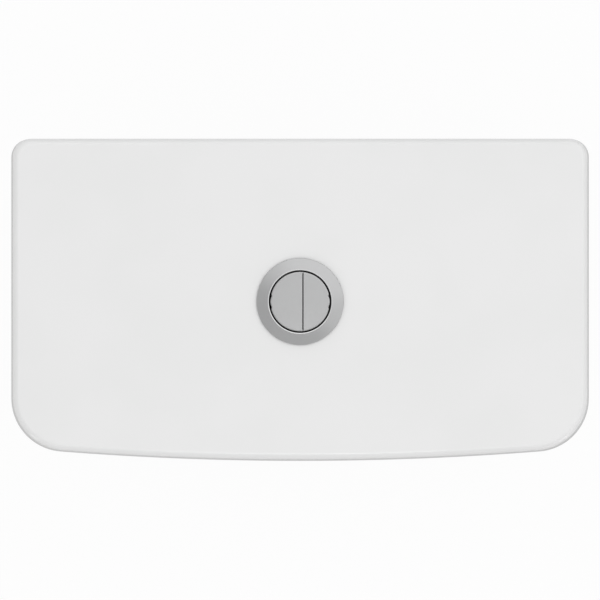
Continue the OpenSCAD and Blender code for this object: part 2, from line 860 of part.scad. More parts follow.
module valve_head() {
    socket_x = post_x - socket_wall;
    socket_l = post_t + 2 * socket_wall + tooth_t;
    socket_w = post_w + 2 * socket_wall;
    color(grey_plastic) difference() {
        union() {
            translate([0, 0, head_z]) cylinder(r = head_r, h = head_t);
            for (turn = [0, 180]) rotate([0, 0, turn]) {
                translate([0, -post_w / 2, head_z]) cube([post_x, post_w, head_t]);
                translate([socket_x, -socket_w / 2, head_z - socket_depth])
                    cube([socket_l, socket_w, socket_depth + head_t]);
            }
            rocker_ears(-full_rod_offset, rocker_arm);
            rocker_ears(half_rod_offset, -rocker_arm);
        }
        for (turn = [0, 180]) rotate([0, 0, turn])
            translate([post_x - push_gap, -post_w / 2 - push_gap, head_z - socket_depth - cut])
                cube([post_t + 2 * push_gap, post_w + 2 * push_gap, socket_depth + cut]);
        rocker_axle(-full_rod_offset, rocker_arm) cross_pin(pin_r + pin_fit, 2 * (rocker_w + ear_t));
        rocker_axle(half_rod_offset, -rocker_arm) cross_pin(pin_r + pin_fit, 2 * (rocker_w + ear_t));
    }
}

module rocker_axle(x, y) {
    translate([x, y, pivot_z]) children();
}

module rocker_ears(x, y) {
    reach = rocker_w / 2 + slide_gap + ear_t / 2;
    for (side = [-1, 1])
        translate([x + side * reach - ear_t / 2, y - ear_half, head_top - lap])
            cube([ear_t, 2 * ear_half, pivot_z + ear_over - head_top + lap]);
}

module rocker_pins() {
    length = rocker_w + 2 * slide_gap + 2 * ear_t;
    color(steel) {
        rocker_axle(-full_rod_offset, rocker_arm) cross_pin(pin_r, length);
        rocker_axle(half_rod_offset, -rocker_arm) cross_pin(pin_r, length);
    }
}

// Rocker about its pivot, level, with its nose towards the wall
module rocker() {
    difference() {
        union() {
            cross_pin(rocker_hub_r, rocker_w);
            translate([-rocker_w / 2, -rocker_arm, -rocker_half])
                cube([rocker_w, rocker_arm + nose_arm, 2 * rocker_half]);
            translate([-rocker_w / 2, -rocker_arm - pad_half, -rocker_half])
                cube([rocker_w, 2 * pad_half, pad_h + rocker_half]);
            translate([0, nose_arm, 0]) cross_pin(nose_r, rocker_w);
        }
        cross_pin(pin_r + pin_fit, rocker_w + 2 * cut);
    }
}

module full_flush_rocker() {
    color(blue_plastic) rocker_axle(-full_rod_offset, rocker_arm)
        rotate([-rocker_swing, 0, 0]) rocker();
}

module half_flush_rocker() {
    color(green_plastic) rocker_axle(half_rod_offset, -rocker_arm)
        mirror([0, 1, 0]) rotate([-rocker_swing, 0, 0]) rocker();
}

module overflow_tube() {
    color(white_plastic) difference() {
        union() {
            translate([0, 0, seal_z]) cylinder(r = tube_r, h = overflow_height - seal_z);
            translate([0, 0, overflow_height - tube_lip_h]) cylinder(r = tube_r + tube_lip, h = tube_lip_h);
        }
        translate([0, 0, seal_z - cut]) cylinder(r = tube_bore_r, h = overflow_height - seal_z + 2 * cut);
    }
}

module lifting_yoke() {
    color(blue_plastic) difference() {
        union() {
            translate([0, 0, yoke_z]) cylinder(r = tube_r + yoke_wall, h = yoke_h);
            yoke_side(-full_rod_offset, full_window_floor, full_window_top);
            mirror([0, 1, 0]) yoke_side(half_rod_offset, half_window_floor, half_window_top);
        }
        translate([0, 0, yoke_z - cut]) cylinder(r = sleeve_r, h = yoke_h + 2 * cut);
    }
}

// Arm and windowed upright of the yoke on one side
module yoke_side(x, low, high) {
    outer = upright_y + upright_t / 2;
    translate([x - upright_w / 2, 0, yoke_z]) cube([upright_w, outer, yoke_arm_h]);
    difference() {
        translate([x - upright_w / 2, outer - upright_t, yoke_z])
            cube([upright_w, upright_t, yoke_top - yoke_z]);
        translate([x - rocker_w / 2 - window_side, outer - upright_t - cut, low])
            cube([rocker_w + 2 * window_side, upright_t + 2 * cut, high - low]);
    }
}

// Float open below, with a sleeve round the tube
module float_shell(outer, inner, height) {
    rotate_extrude() polygon([
        [inner, 0], [inner + float_wall, 0], [inner + float_wall, height - float_wall],
        [outer - float_wall, height - float_wall], [outer - float_wall, 0], [outer, 0],
        [outer, height], [inner, height]]);
}

module full_flush_float() {
    color(blue_plastic) translate([0, 0, full_float_z]) float_shell(full_float_r, sleeve_r, full_float_h);
}

module half_flush_float() {
    color(green_plastic) translate([0, 0, half_float_z]) float_shell(half_float_r, sleeve_r, half_float_h);
}

module half_float_clip() {
    color(grey_plastic) translate([0, 0, half_float_z + half_float_h]) difference() {
        union() {
            cylinder(r = tube_r + clip_wall, h = clip_h);
            translate([-clip_slot / 2 - clip_wall, -tube_r - clip_wall - clip_ear, 0])
                cube([clip_slot + 2 * clip_wall, clip_wall + clip_ear, clip_h]);
        }
        translate([0, 0, -cut]) cylinder(r = sleeve_r, h = clip_h + 2 * cut);
        translate([-clip_slot / 2, -tube_r - clip_wall - clip_ear - cut, -cut])
            cube([clip_slot, tube_r + clip_wall + clip_ear + cut, clip_h + 2 * cut]);
    }
}

module seal_carrier() {
    color(grey_plastic) translate([0, 0, seal_z]) difference() {
        union() {
            cylinder(r = carrier_hub_r, h = seal_t + carrier_t + carrier_hub_h);
            translate([0, 0, seal_t]) cylinder(r = carrier_r, h = carrier_t);
        }
        translate([0, 0, -cut]) cylinder(r = sleeve_r, h = seal_t + carrier_t + carrier_hub_h + 2 * cut);
    }
}

module flush_seal() {
    color(red_rubber) translate([0, 0, seal_z]) ring(seal_r, carrier_hub_r + thread_fit, seal_t);
}

module fill_shank() {
    sleeve_bore = riser_r + riser_fit;
    color(white_plastic) at_fill() difference() {
        union() {
            translate([0, 0, -inlet_tail]) cylinder(r = inlet_r, h = inlet_tail - inlet_nut_h);
            translate([0, 0, -inlet_nut_h - lap])
                cylinder(r = inlet_shank_r, h = inlet_nut_h + inlet_flange_z + 2 * lap);
            translate([0, 0, inlet_flange_z]) cylinder(r = inlet_flange_r, h = inlet_flange_t);
            translate([0, 0, inlet_flange_z]) cylinder(r = shank_r, h = shank_top - inlet_flange_z);
        }
        translate([0, 0, -inlet_tail - cut])
            cylinder(r = inlet_bore_r, h = inlet_tail + shank_floor_z + 2 * cut);
        translate([0, 0, shank_floor_z]) cylinder(r = sleeve_bore, h = shank_top - shank_floor_z + cut);
        for (turn = [0, 90]) rotate([0, 0, turn])
            translate([-shank_slot / 2, -2 * shank_r, shank_top - shank_slot_h])
                cube([shank_slot, 4 * shank_r, shank_slot_h + cut]);
    }
}

module inlet_washer() {
    color(black_rubber) at_fill() translate([0, 0, tank_floor])
        ring(inlet_flange_r - washer_inset, inlet_r + washer_gap, inlet_washer_t);
}

module inlet_nut() {
    color(white_plastic) at_fill() translate([0, 0, -inlet_nut_h]) difference() {
        union() {
            hex_prism(inlet_nut_flats, inlet_nut_h);
            translate([0, 0, inlet_nut_h - inlet_nut_flange_t])
                cylinder(r = inlet_nut_flats / 2 + inlet_nut_flange, h = inlet_nut_flange_t);
        }
        translate([0, 0, -cut]) cylinder(r = inlet_shank_r + thread_fit, h = inlet_nut_h + 2 * cut);
    }
}

module inlet_filter() {
    outer = inlet_bore_r - washer_gap;
    color(grey_plastic) at_fill() translate([0, 0, -inlet_tail]) difference() {
        cylinder(r = outer, h = filter_h);
        translate([0, 0, -cut]) cylinder(r = outer - filter_wall, h = filter_h - filter_wall + cut);
        for (turn = [0 : 45 : 135]) rotate([0, 0, turn])
            translate([-filter_slot / 2, -2 * outer, filter_rim])
                cube([filter_slot, 4 * outer, filter_h - 2 * filter_rim]);
    }
}

module fill_riser() {
    color(grey_plastic) at_fill() translate([0, 0, riser_z])
        ring(riser_r, riser_r - riser_wall, fill_height + riser_seat - riser_z);
}

module riser_lock_nut() {
    outer = shank_r + lock_wall;
    color(grey_plastic) at_fill() translate([0, 0, shank_top - lock_h]) difference() {
        union() {
            cylinder(r = outer, h = lock_h + lock_lip);
            for (i = [1 : lock_ribs]) rotate([0, 0, 360 * i / lock_ribs])
                translate([outer - lap, -lap, 0]) cube([2 * lap, 2 * lap, lock_h]);
        }
        translate([0, 0, -cut]) cylinder(r = shank_r + thread_fit, h = lock_h + cut);
        translate([0, 0, lock_h - cut]) cylinder(r = riser_r + riser_fit, h = lock_lip + 2 * cut);
    }
}

module fill_head() {
    color(white_plastic) at_fill() difference() {
        union() {
            translate([0, 0, fill_height]) cylinder(r = head_body_r, h = head_body_h);
            translate([0, 0, spout_z]) rotate([-90, 0, 0]) cylinder(r = spout_r, h = spout_reach);
            translate([0, spout_reach, spout_z - elbow_h / 2]) cylinder(r = elbow_r, h = elbow_h);
        }
        translate([0, 0, fill_height - cut]) cylinder(r = riser_r + thread_fit, h = riser_seat + cut);
        translate([0, 0, fill_height]) cylinder(r = riser_r - riser_wall, h = head_body_h + cut);
        translate([0, 0, spout_z]) rotate([-90, 0, 0]) cylinder(r = spout_bore_r, h = spout_reach);
        translate([0, spout_reach, spout_z - elbow_h / 2 - cut])
            cylinder(r = discharge_r + thread_fit, h = discharge_seat + cut);
        translate([0, spout_reach, spout_z - elbow_h / 2])
            cylinder(r = discharge_r - discharge_wall, h = elbow_h - elbow_roof);
    }
}

module fill_cap() {
    color(grey_plastic) at_fill() difference() {
        union() {
            translate([0, 0, cap_z]) cylinder(r = head_body_r + thread_fit + cap_wall, h = cap_h);
            translate([0, 0, cap_top - lap]) cylinder(r = pilot_r, h = pilot_h + lap);
            for (side = [-1, 1])
                translate([
                    -lever_pivot_offset - lever_ear_half,
                    side * (lever_w / 2 + slide_gap + lever_ear_t / 2) - lever_ear_t / 2, cap_top - lap])
                    cube([2 * lever_ear_half, lever_ear_t, lever_pivot_z + lever_ear_half - cap_top + lap]);
        }
        translate([0, 0, cap_z - cut])
            cylinder(r = head_body_r + thread_fit, h = cap_skirt + diaphragm_t + cut);
        translate([0, 0, cap_z]) cylinder(r = chamber_r, h = cap_skirt + diaphragm_t + chamber_h);
        translate([0, 0, cap_z]) cylinder(r = pilot_hole_r, h = cap_h + pilot_h + cut);
        lever_axle() rotate([0, 0, 90]) cross_pin(lever_pin_r + pin_fit, 3 * lever_w);
    }
}

// Place of the lever's pivot, from the fill valve's axis
module lever_axle() {
    translate([-lever_pivot_offset, 0, lever_pivot_z]) children();
}

module diaphragm() {
    color(red_rubber) at_fill() translate([0, 0, diaphragm_z])
        cylinder(r = head_body_r - diaphragm_gap, h = diaphragm_t);
}

module discharge_tube() {
    top = spout_z - elbow_h / 2 + discharge_seat;
    color(white_plastic) at_fill() translate([0, spout_reach, discharge_z])
        ring(discharge_r, discharge_r - discharge_wall, top - discharge_z);
}

module float_cup() {
    color(blue_plastic) at_fill() difference() {
        union() {
            translate([0, 0, float_z]) float_shell(float_r, float_bore_r, float_height);
            translate([-link_offset, 0, float_z + float_height - link_boss_h])
                cylinder(r = link_boss_r, h = 2 * link_boss_h);
        }
        translate([-link_offset, 0, float_z + float_height])
            cylinder(r = link_r + thread_fit, h = link_boss_h + cut);
    }
}

module float_link() {
    low = float_z + float_height;
    color(white_plastic) at_fill() translate([-link_offset, 0, 0]) {
        translate([0, 0, low])
            cylinder(r = link_r, h = lever_end_z + lever_reach + 2 * link_collar_t - low);
        translate([0, 0, lever_end_z - lever_reach - link_collar_t])
            cylinder(r = link_collar_r, h = link_collar_t);
    }
}

module link_clip() {
    color(steel) at_fill() translate([-link_offset, 0, lever_end_z + lever_reach])
        ring(link_collar_r, link_r + thread_fit, link_collar_t);
}

// Lever at its rest in an empty tank: the link's end hangs low and the pilot is open
module float_lever() {
    tail = lever_pivot_offset + pilot_r;
    tip = lever_arm + link_collar_r;
    slot = link_r + slide_gap;
    color(green_plastic) at_fill() lever_axle() rotate([0, -lever_swing, 0]) difference() {
        union() {
            rotate([0, 0, 90]) cross_pin(lever_hub_r, lever_w);
            translate([-tip, -lever_w / 2, -lever_half]) cube([tip + tail, lever_w, 2 * lever_half]);
        }
        rotate([0, 0, 90]) cross_pin(lever_pin_r + pin_fit, lever_w + 2 * cut);
        translate([-tip - cut, -slot, -lever_half - cut])
            cube([2 * link_collar_r + cut, 2 * slot, 2 * lever_half + 2 * cut]);
    }
}

module lever_pin() {
    color(steel) at_fill() lever_axle() rotate([0, 0, 90])
        cross_pin(lever_pin_r, lever_w + 2 * slide_gap + 2 * lever_ear_t);
}

lid();
button_bezel();
button_gasket();
button_nut();
full_flush_button();
half_flush_button();
full_flush_rod();
half_flush_rod();
full_flush_spring();
half_flush_spring();
tank();
coupling_bolts();
bolt_head_washers();
bolt_rubber_washers();
bolt_under_washers();
bolt_nuts();
flush_base();
flush_base_washer();
flush_back_nut();
coupling_doughnut();
valve_cage();
valve_head();
rocker_pins();
full_flush_rocker();
half_flush_rocker();
overflow_tube();
lifting_yoke();
full_flush_float();
half_flush_float();
half_float_clip();
seal_carrier();
flush_seal();
fill_shank();
inlet_washer();
inlet_nut();
inlet_filter();
fill_riser();
riser_lock_nut();
fill_head();
fill_cap();
diaphragm();
discharge_tube();
float_cup();
float_link();
link_clip();
float_lever();
lever_pin();
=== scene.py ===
import json
import math

import bmesh
import bpy
from mathutils import Matrix, Vector


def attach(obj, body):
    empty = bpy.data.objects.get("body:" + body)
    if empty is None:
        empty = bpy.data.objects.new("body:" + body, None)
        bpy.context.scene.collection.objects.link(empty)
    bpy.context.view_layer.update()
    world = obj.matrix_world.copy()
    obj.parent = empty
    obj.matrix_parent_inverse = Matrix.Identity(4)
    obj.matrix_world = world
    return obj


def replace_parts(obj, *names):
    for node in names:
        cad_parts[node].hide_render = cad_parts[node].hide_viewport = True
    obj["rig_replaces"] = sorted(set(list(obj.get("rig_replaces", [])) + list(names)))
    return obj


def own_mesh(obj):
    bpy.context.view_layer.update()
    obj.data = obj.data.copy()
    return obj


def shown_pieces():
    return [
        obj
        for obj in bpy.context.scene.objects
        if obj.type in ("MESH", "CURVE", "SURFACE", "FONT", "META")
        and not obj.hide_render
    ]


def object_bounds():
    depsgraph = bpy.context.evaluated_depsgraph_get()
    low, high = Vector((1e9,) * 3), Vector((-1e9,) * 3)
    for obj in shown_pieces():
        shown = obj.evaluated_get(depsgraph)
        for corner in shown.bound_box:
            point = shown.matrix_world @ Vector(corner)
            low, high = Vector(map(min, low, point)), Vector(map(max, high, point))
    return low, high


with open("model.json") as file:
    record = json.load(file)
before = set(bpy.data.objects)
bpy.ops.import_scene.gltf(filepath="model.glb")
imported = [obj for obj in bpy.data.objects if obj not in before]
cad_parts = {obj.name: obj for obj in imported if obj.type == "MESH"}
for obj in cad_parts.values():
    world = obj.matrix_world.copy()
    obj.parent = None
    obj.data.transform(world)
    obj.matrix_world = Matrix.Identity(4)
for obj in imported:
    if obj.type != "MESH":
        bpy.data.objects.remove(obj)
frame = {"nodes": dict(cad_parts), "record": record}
cadBox = [list(corner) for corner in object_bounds()]
nodes = frame["nodes"]
record = frame["record"]
slotOf = {row["node"]: row["material_slot"] for row in record["subparts"]}
bodyOf = {name: body for body, held in record["behaviour"]["bodies"].items() for name in held}
mm = 0.001


# shader sockets that take part in plain arithmetic
class Sock:
    def __init__(self, tree, link=None):
        self.tree = tree
        self.link = link

    def node(self, kind, settings=None, inputs=None, out=0):
        made = self.tree.nodes.new(kind)
        for key, value in (settings or {}).items():
            setattr(made, key, value)
        for key, value in (inputs or {}).items():
            if isinstance(value, Sock):
                self.tree.links.new(value.link, made.inputs[key])
            else:
                made.inputs[key].default_value = value
        return Sock(self.tree, made.outputs[out]) if made.outputs else None

    def maths(self, operation, first, second):
        return self.node("ShaderNodeMath", {"operation": operation}, {0: first, 1: second})

    def __add__(self, other):
        return self.maths("ADD", self, other)

    def __sub__(self, other):
        return self.maths("SUBTRACT", self, other)

    def __rsub__(self, other):
        return self.maths("SUBTRACT", other, self)

    def __mul__(self, other):
        return self.maths("MULTIPLY", self, other)

    __radd__ = __add__
    __rmul__ = __mul__


def startMaterial(name):
    material = bpy.data.materials.new(name)
    material.use_nodes = True
    material.node_tree.nodes.clear()
    return material, Sock(material.node_tree)


def objectCoords(root):
    return root.node("ShaderNodeTexCoord", out="Object")


def closeMaterial(root, values):
    shader = root.node("ShaderNodeBsdfPrincipled", {}, values)
    root.node("ShaderNodeOutputMaterial", {}, {"Surface": shader})


def noise(root, coords, scale, detail=3.0, roughness=0.55):
    return root.node("ShaderNodeTexNoise", {}, {
        "Vector": coords, "Scale": scale, "Detail": detail, "Roughness": roughness})


def mixColour(root, factor, first, second):
    ends = [end if isinstance(end, Sock) else (*end, 1) for end in (first, second)]
    return root.node("ShaderNodeMix", {"data_type": "RGBA"}, {0: factor, 6: ends[0], 7: ends[1]}, 2)


def bump(root, height, strength, distance):
    return root.node("ShaderNodeBump", {}, {"Strength": strength, "Distance": distance, "Height": height})


def ramp(root, value, low, high):
    return root.node("ShaderNodeMapRange", {"interpolation_type": "SMOOTHSTEP"}, {
        "Value": value, "From Min": low, "From Max": high, "To Min": 0.0, "To Max": 1.0})


# distance from the origin once each axis is scaled
def scaledReach(root, coords, scale):
    scaled = root.node("ShaderNodeVectorMath", {"operation": "MULTIPLY"}, {0: coords, 1: scale})
    return root.node("ShaderNodeVectorMath", {"operation": "LENGTH"}, {0: scaled}, "Value")


chinaLook = {"glaze": (0.80, 0.80, 0.80), "thin": (0.785, 0.787, 0.785), "bare": (0.70, 0.68, 0.63),
             "ripple": 16.0, "peel": 420.0, "grit": 2600.0, "heights": (0.6, 0.015, 0.2),
             "thinSpan": (0.35, 0.7), "bareEdge": (-0.6, 0.3), "roughness": 0.16, "bareRoughness": 0.6,
             "coat": 0.6, "coatRoughness": 0.05, "bump": (0.12, 0.6 * mm)}


# white glaze with a faint ripple, and bare fired clay below one level
def glazedChina(name, bareLevel):
    c = chinaLook
    material, root = startMaterial(name)
    coords = objectCoords(root)
    ripple = noise(root, coords, c["ripple"], 2.0)
    peel = noise(root, coords, c["peel"], 2.0)
    grit = noise(root, coords, c["grit"])
    level = root.node("ShaderNodeSeparateXYZ", {}, {0: coords}, "Z")
    bare = 1 - ramp(root, level, *(bareLevel + step * mm for step in c["bareEdge"]))
    glaze = mixColour(root, ramp(root, ripple, *c["thinSpan"]), c["glaze"], c["thin"])
    rippleUp, peelUp, gritUp = c["heights"]
    height = ripple * rippleUp + peel * peelUp + grit * bare * gritUp
    closeMaterial(root, {
        "Base Color": mixColour(root, bare, glaze, c["bare"]), "IOR": 1.5,
        "Roughness": c["roughness"] + bare * c["bareRoughness"],
        "Coat Weight": (1 - bare) * c["coat"], "Coat Roughness": c["coatRoughness"],
        "Normal": bump(root, height, *c["bump"])})
    return material


# the lip colour below is brighter than the plating: a painted highlight on the bezel's lip
chromeLook = {"colour": (0.462, 0.464, 0.466), "worn": (0.482, 0.484, 0.486),
              "paintedHighlight": (0.70, 0.702, 0.705), "lines": 5200.0, "cloud": 160.0, "lip": (19.85, 20.5),
              "lipFade": (0.1, 0.2), "roughness": 0.30, "roughShares": (0.04, 0.03, 0.08),
              "bump": (0.10, 0.01 * mm)}


# satin plating turned round the button's axis; at the bezel's lip it is smoother, and its colour is
# brightened there as a painted highlight
def satinChrome(name):
    c = chromeLook
    material, root = startMaterial(name)
    coords = objectCoords(root)
    reach = scaledReach(root, coords, (1, 1, 0))
    turned = root.node("ShaderNodeTexNoise", {"noise_dimensions": "1D"}, {
        "W": reach * c["lines"], "Scale": 1.0, "Detail": 2.0})
    cloud = noise(root, coords, c["cloud"])
    (low, high), (fadeIn, fadeOut) = c["lip"], c["lipFade"]
    started = ramp(root, reach, (low - fadeIn) * mm, low * mm)
    ended = ramp(root, reach, high * mm, (high + fadeOut) * mm)
    # the lip ring lowers the roughness (real polish) and mixes in the painted highlight colour
    lip = started * (1 - ended)
    satin = mixColour(root, cloud, c["colour"], c["worn"])
    lineShare, cloudShare, lipShare = c["roughShares"]
    closeMaterial(root, {
        "Base Color": mixColour(root, lip, satin, c["paintedHighlight"]), "Metallic": 1.0,
        "Roughness": c["roughness"] + turned * lineShare + cloud * cloudShare - lip * lipShare,
        "Normal": bump(root, turned, *c["bump"])})
    return material


plasticLooks = {
    "white_plastic": ((0.72, 0.72, 0.70), (0.67, 0.67, 0.64), 0.34),
    "grey_plastic": ((0.25, 0.265, 0.29), (0.21, 0.225, 0.25), 0.38),
    "blue_plastic": ((0.07, 0.20, 0.47), (0.055, 0.165, 0.40), 0.32),
    "green_plastic": ((0.09, 0.31, 0.16), (0.07, 0.25, 0.13), 0.32)}
plasticGrain = {"flow": 38.0, "grain": 1500.0, "flowSpan": (0.3, 0.75), "flowHeight": 0.5,
                "roughShares": (0.14, 0.06), "bump": (0.16, 0.04 * mm)}


# moulded plastic: slow flow shades and a fine spark-eroded grain
def mouldedPlastic(name, colour, deeper, roughness):
    p = plasticGrain
    material, root = startMaterial(name)
    coords = objectCoords(root)
    flow = noise(root, coords, p["flow"], 4.0)
    grain = noise(root, coords, p["grain"], 2.0)
    grainShare, flowShare = p["roughShares"]
    closeMaterial(root, {
        "Base Color": mixColour(root, ramp(root, flow, *p["flowSpan"]), colour, deeper),
        "Roughness": roughness + grain * grainShare + flow * flowShare, "IOR": 1.49,
        "Normal": bump(root, grain + flow * p["flowHeight"], *p["bump"])})
    return material


rubberLooks = {
    "black_rubber": ((0.018, 0.018, 0.019), (0.045, 0.045, 0.046)),
    "red_rubber": ((0.36, 0.055, 0.035), (0.43, 0.10, 0.07))}
rubberGrain = {"cloud": 70.0, "grain": 1100.0, "bloomSpan": (0.42, 0.72), "cloudHeight": 0.4,
               "roughness": 0.62, "roughShare": 0.25, "bump": (0.3, 0.06 * mm)}


# rubber with a pale bloom and a matt grain
def seatRubber(name, colour, bloom):
    r = rubberGrain
    material, root = startMaterial(name)
    coords = objectCoords(root)
    cloud = noise(root, coords, r["cloud"], 5.0)
    grain = noise(root, coords, r["grain"])
    closeMaterial(root, {
        "Base Color": mixColour(root, ramp(root, cloud, *r["bloomSpan"]), colour, bloom),
        "Roughness": r["roughness"] + cloud * r["roughShare"], "IOR": 1.52,
        "Normal": bump(root, grain + cloud * r["cloudHeight"], *r["bump"])})
    return material


foamCells = {"dark": (0.020, 0.020, 0.021), "pale": (0.060, 0.060, 0.062), "cells": 620.0, "mottle": 120.0,
             "poreSpan": (0.05, 0.45), "mottleHeight": 0.5, "roughness": 0.85, "roughShare": 0.1,
             "bump": (0.5, 0.25 * mm)}


# closed-cell foam: pores over a soft mottle
def cellFoam(name):
    f = foamCells
    material, root = startMaterial(name)
    coords = objectCoords(root)
    cells = root.node("ShaderNodeTexVoronoi", {}, {"Vector": coords, "Scale": f["cells"]})
    mottle = noise(root, coords, f["mottle"], 4.0)
    pores = 1 - ramp(root, cells, *f["poreSpan"])
    closeMaterial(root, {
        "Base Color": mixColour(root, mottle, f["dark"], f["pale"]),
        "Roughness": f["roughness"] + mottle * f["roughShare"],
        "Normal": bump(root, mottle * f["mottleHeight"] - pores, *f["bump"])})
    return material


zincLook = {"blue": (0.56, 0.57, 0.60), "warm": (0.66, 0.65, 0.62), "cloud": 210.0, "drawn": 1800.0,
            "stretch": (1, 1, 0.08), "roughness": 0.28, "roughShares": (0.16, 0.06),
            "bump": (0.12, 0.02 * mm)}


# zinc plate: pale grey with bluish clouds and drawn marks
def zincSteel(name):
    s = zincLook
    material, root = startMaterial(name)
    coords = objectCoords(root)
    cloud = noise(root, coords, s["cloud"], 4.0)
    stretched = root.node("ShaderNodeVectorMath", {"operation": "MULTIPLY"}, {0: coords, 1: s["stretch"]})
    drawn = noise(root, stretched, s["drawn"])
    cloudShare, drawnShare = s["roughShares"]
    closeMaterial(root, {
        "Base Color": mixColour(root, cloud, s["blue"], s["warm"]), "Metallic": 1.0,
        "Roughness": s["roughness"] + cloud * cloudShare + drawn * drawnShare,
        "Normal": bump(root, drawn, *s["bump"])})
    return material


lidLevel = 340.3  # underside of the lid's rim
finishes = {slot: mouldedPlastic(slot + "_look", *look) for slot, look in plasticLooks.items()}
finishes.update({slot: seatRubber(slot + "_look", *look) for slot, look in rubberLooks.items()})
finishes["satin_chrome"] = satinChrome("satin_chrome_look")
finishes["steel"] = zincSteel("zinc_steel_look")
bareFoot = 0.9  # height that the glaze leaves bare
lidGlaze = glazedChina("lid_glaze", (lidLevel + bareFoot) * mm)
tankGlaze = glazedChina("tank_glaze", bareFoot * mm)
foamLook = cellFoam("doughnut_foam")
print("materials:", len(bpy.data.materials))


mergeWidth = 1e-7  # points this near each other are one
tiny = 1e-6  # radii below this count as none
cornerShare = 0.49  # of a side, the most that one round corner takes


# mesh helpers, all in millimetres until a piece is finished
def newPiece(name, bm, material, standsFor, sharpest=38.0):
    bmesh.ops.remove_doubles(bm, verts=bm.verts, dist=mergeWidth)
    bmesh.ops.recalc_face_normals(bm, faces=bm.faces)
    mesh = bpy.data.meshes.new(name)
    bm.to_mesh(mesh)
    bm.free()
    for face in mesh.polygons:
        face.use_smooth = True
    mesh.set_sharp_from_angle(angle=math.radians(sharpest))
    mesh.materials.append(material)
    piece = bpy.data.objects.new(name, mesh)
    bpy.context.scene.collection.objects.link(piece)
    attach(piece, bodyOf[standsFor[0]])
    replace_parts(piece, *standsFor)
    return piece


def toMetres(bm):
    bmesh.ops.scale(bm, vec=(mm, mm, mm), verts=bm.verts)


# quads between rings of points; a ring of one point closes an end
def bands(bm, rings, closed):
    made = [[bm.verts.new(p) for p in ring] for ring in rings]
    for low, high in zip(made, made[1:] + made[:1] if closed else made[1:]):
        count = max(len(low), len(high))
        for i in range(count):
            j = (i + 1) % count
            corners = (low[i % len(low)], low[j % len(low)], high[j % len(high)], high[i % len(high)])
            face = list(dict.fromkeys(corners))
            if len(face) > 2:
                bm.faces.new(face)
    return made


# bands that end in a face
def tube(bm, rings):
    made = bands(bm, rings, False)
    bm.faces.new(made[0][::-1])
    bm.faces.new(made[-1])


def lathe(bm, profile, centre=(0, 0), steps=96, closed=True):
    turns = [2 * math.pi * i / steps for i in range(steps)]
    rings = []
    for r, z in profile:
        if r < tiny:
            rings.append([(centre[0], centre[1], z)])
        else:
            rings.append([(centre[0] + r * math.cos(t), centre[1] + r * math.sin(t), z) for t in turns])
    bands(bm, rings, closed)


def plug(bm, radius, low, high, centre, steps):
    lathe(bm, [(0, low), (radius, low), (radius, high), (0, high)], centre, steps, False)


# a polygon's corners rounded: each point is (x, y, radius)
def rounded(points, steps=5):
    out = []
    for i, (x, y, radius) in enumerate(points):
        if radius < tiny:
            out.append((x, y))
            continue
        here = Vector((x, y))
        before = Vector(points[i - 1][:2]) - here
        after = Vector(points[(i + 1) % len(points)][:2]) - here
        half = before.angle(after) / 2
        reach = min(radius / math.tan(half), before.length * cornerShare, after.length * cornerShare)
        start, end = before.normalized() * reach, after.normalized() * reach
        middle = (start + end).normalized() * (reach / math.cos(half))
        u, v = start - middle, end - middle
        total = u.angle(v)
        for k in range(steps + 1):
            share = k / steps
            blend = u * math.sin((1 - share) * total) + v * math.sin(share * total)
            p = here + middle + blend / math.sin(total)
            out.append((p.x, p.y))
    return out


# a ridge's section: depth below the core, fall where it runs out, and half widths as shares of the pitch
ridgeShape = {"sink": 0.15, "runOut": 0.1, "foot": 0.46, "crest": 0.09}


# a screw's ridge, sunk a little into its core and running out at both ends
def threadRidge(bm, radius, depth, pitch, low, high, centre=(0, 0), steps=36):
    turns = (high - low) / pitch
    count = int(turns * steps)
    foot = radius - depth - ridgeShape["sink"]
    wide, narrow = ridgeShape["foot"], ridgeShape["crest"]
    rings = []
    for k in range(count + 1):
        turn = 2 * math.pi * turns * k / count
        z = low + (high - low) * k / count
        fade = min(1.0, 2 * k / steps, 2 * (count - k) / steps)
        crest = radius - (depth + ridgeShape["runOut"]) * (1 - fade)
        section = ((foot, -wide), (crest, -narrow), (crest, narrow), (foot, wide))
        rings.append([(centre[0] + r * math.cos(turn), centre[1] + r * math.sin(turn), z + s * pitch)
                      for r, s in section])
    tube(bm, rings)


hexShape = {"crown": 0.965, "slope": 28.0, "lip": 0.4}


# hexagon head or nut with turned corners
def hexSolid(bm, flats, low, high, centre, bore=0.0, steps=72):
    turns = [2 * math.pi * i / steps for i in range(steps)]
    apothem = flats / 2
    crown, lip = apothem * hexShape["crown"], hexShape["lip"]
    across = [apothem / math.cos(math.fmod(t, math.pi / 3) - math.pi / 6) for t in turns]
    drop = [max(0.0, (r - crown) * math.tan(math.radians(hexShape["slope"]))) for r in across]

    def ring(radii, heights):
        return [(centre[0] + r * math.cos(t), centre[1] + r * math.sin(t), z)
                for r, z, t in zip(radii, heights, turns)]

    def level(r, z):
        return ring([r] * steps, [z] * steps)

    sides = [level(crown, low), ring(across, [low + d for d in drop]),
             ring(across, [high - d for d in drop]), level(crown, high)]
    if bore:
        bands(bm, [level(bore + lip, low), *sides, level(bore + lip, high), level(bore, high - lip),
                   level(bore, low + lip)], True)
    else:
        bands(bm, [[(*centre, low)], *sides, [(*centre, high)]], False)


def roundedBox(bm, low, high, radius, segments=3, turn=0.0):
    others = set(bm.verts)
    made = bmesh.ops.create_cube(bm, size=1.0)["verts"]
    for v in made:
        v.co = Vector([a + (b - a) * (c + 0.5) for a, b, c in zip(low, high, v.co)])
    edges = list(dict.fromkeys(e for v in made for e in v.link_edges))
    bmesh.ops.bevel(bm, geom=edges, offset=radius, segments=segments, profile=0.5, affect="EDGES")
    spin = Matrix.Rotation(math.radians(turn), 3, "Z")
    bmesh.ops.rotate(bm, cent=(0, 0, 0), matrix=spin, verts=[v for v in bm.verts if v not in others])


# box that stands out from the axis at one bearing: its near end, far end and half width
def spoke(bm, span, low, high, edge, turn):
    near, far, half = span
    roundedBox(bm, (near, -half, low), (far, half, high), edge, turn=turn)


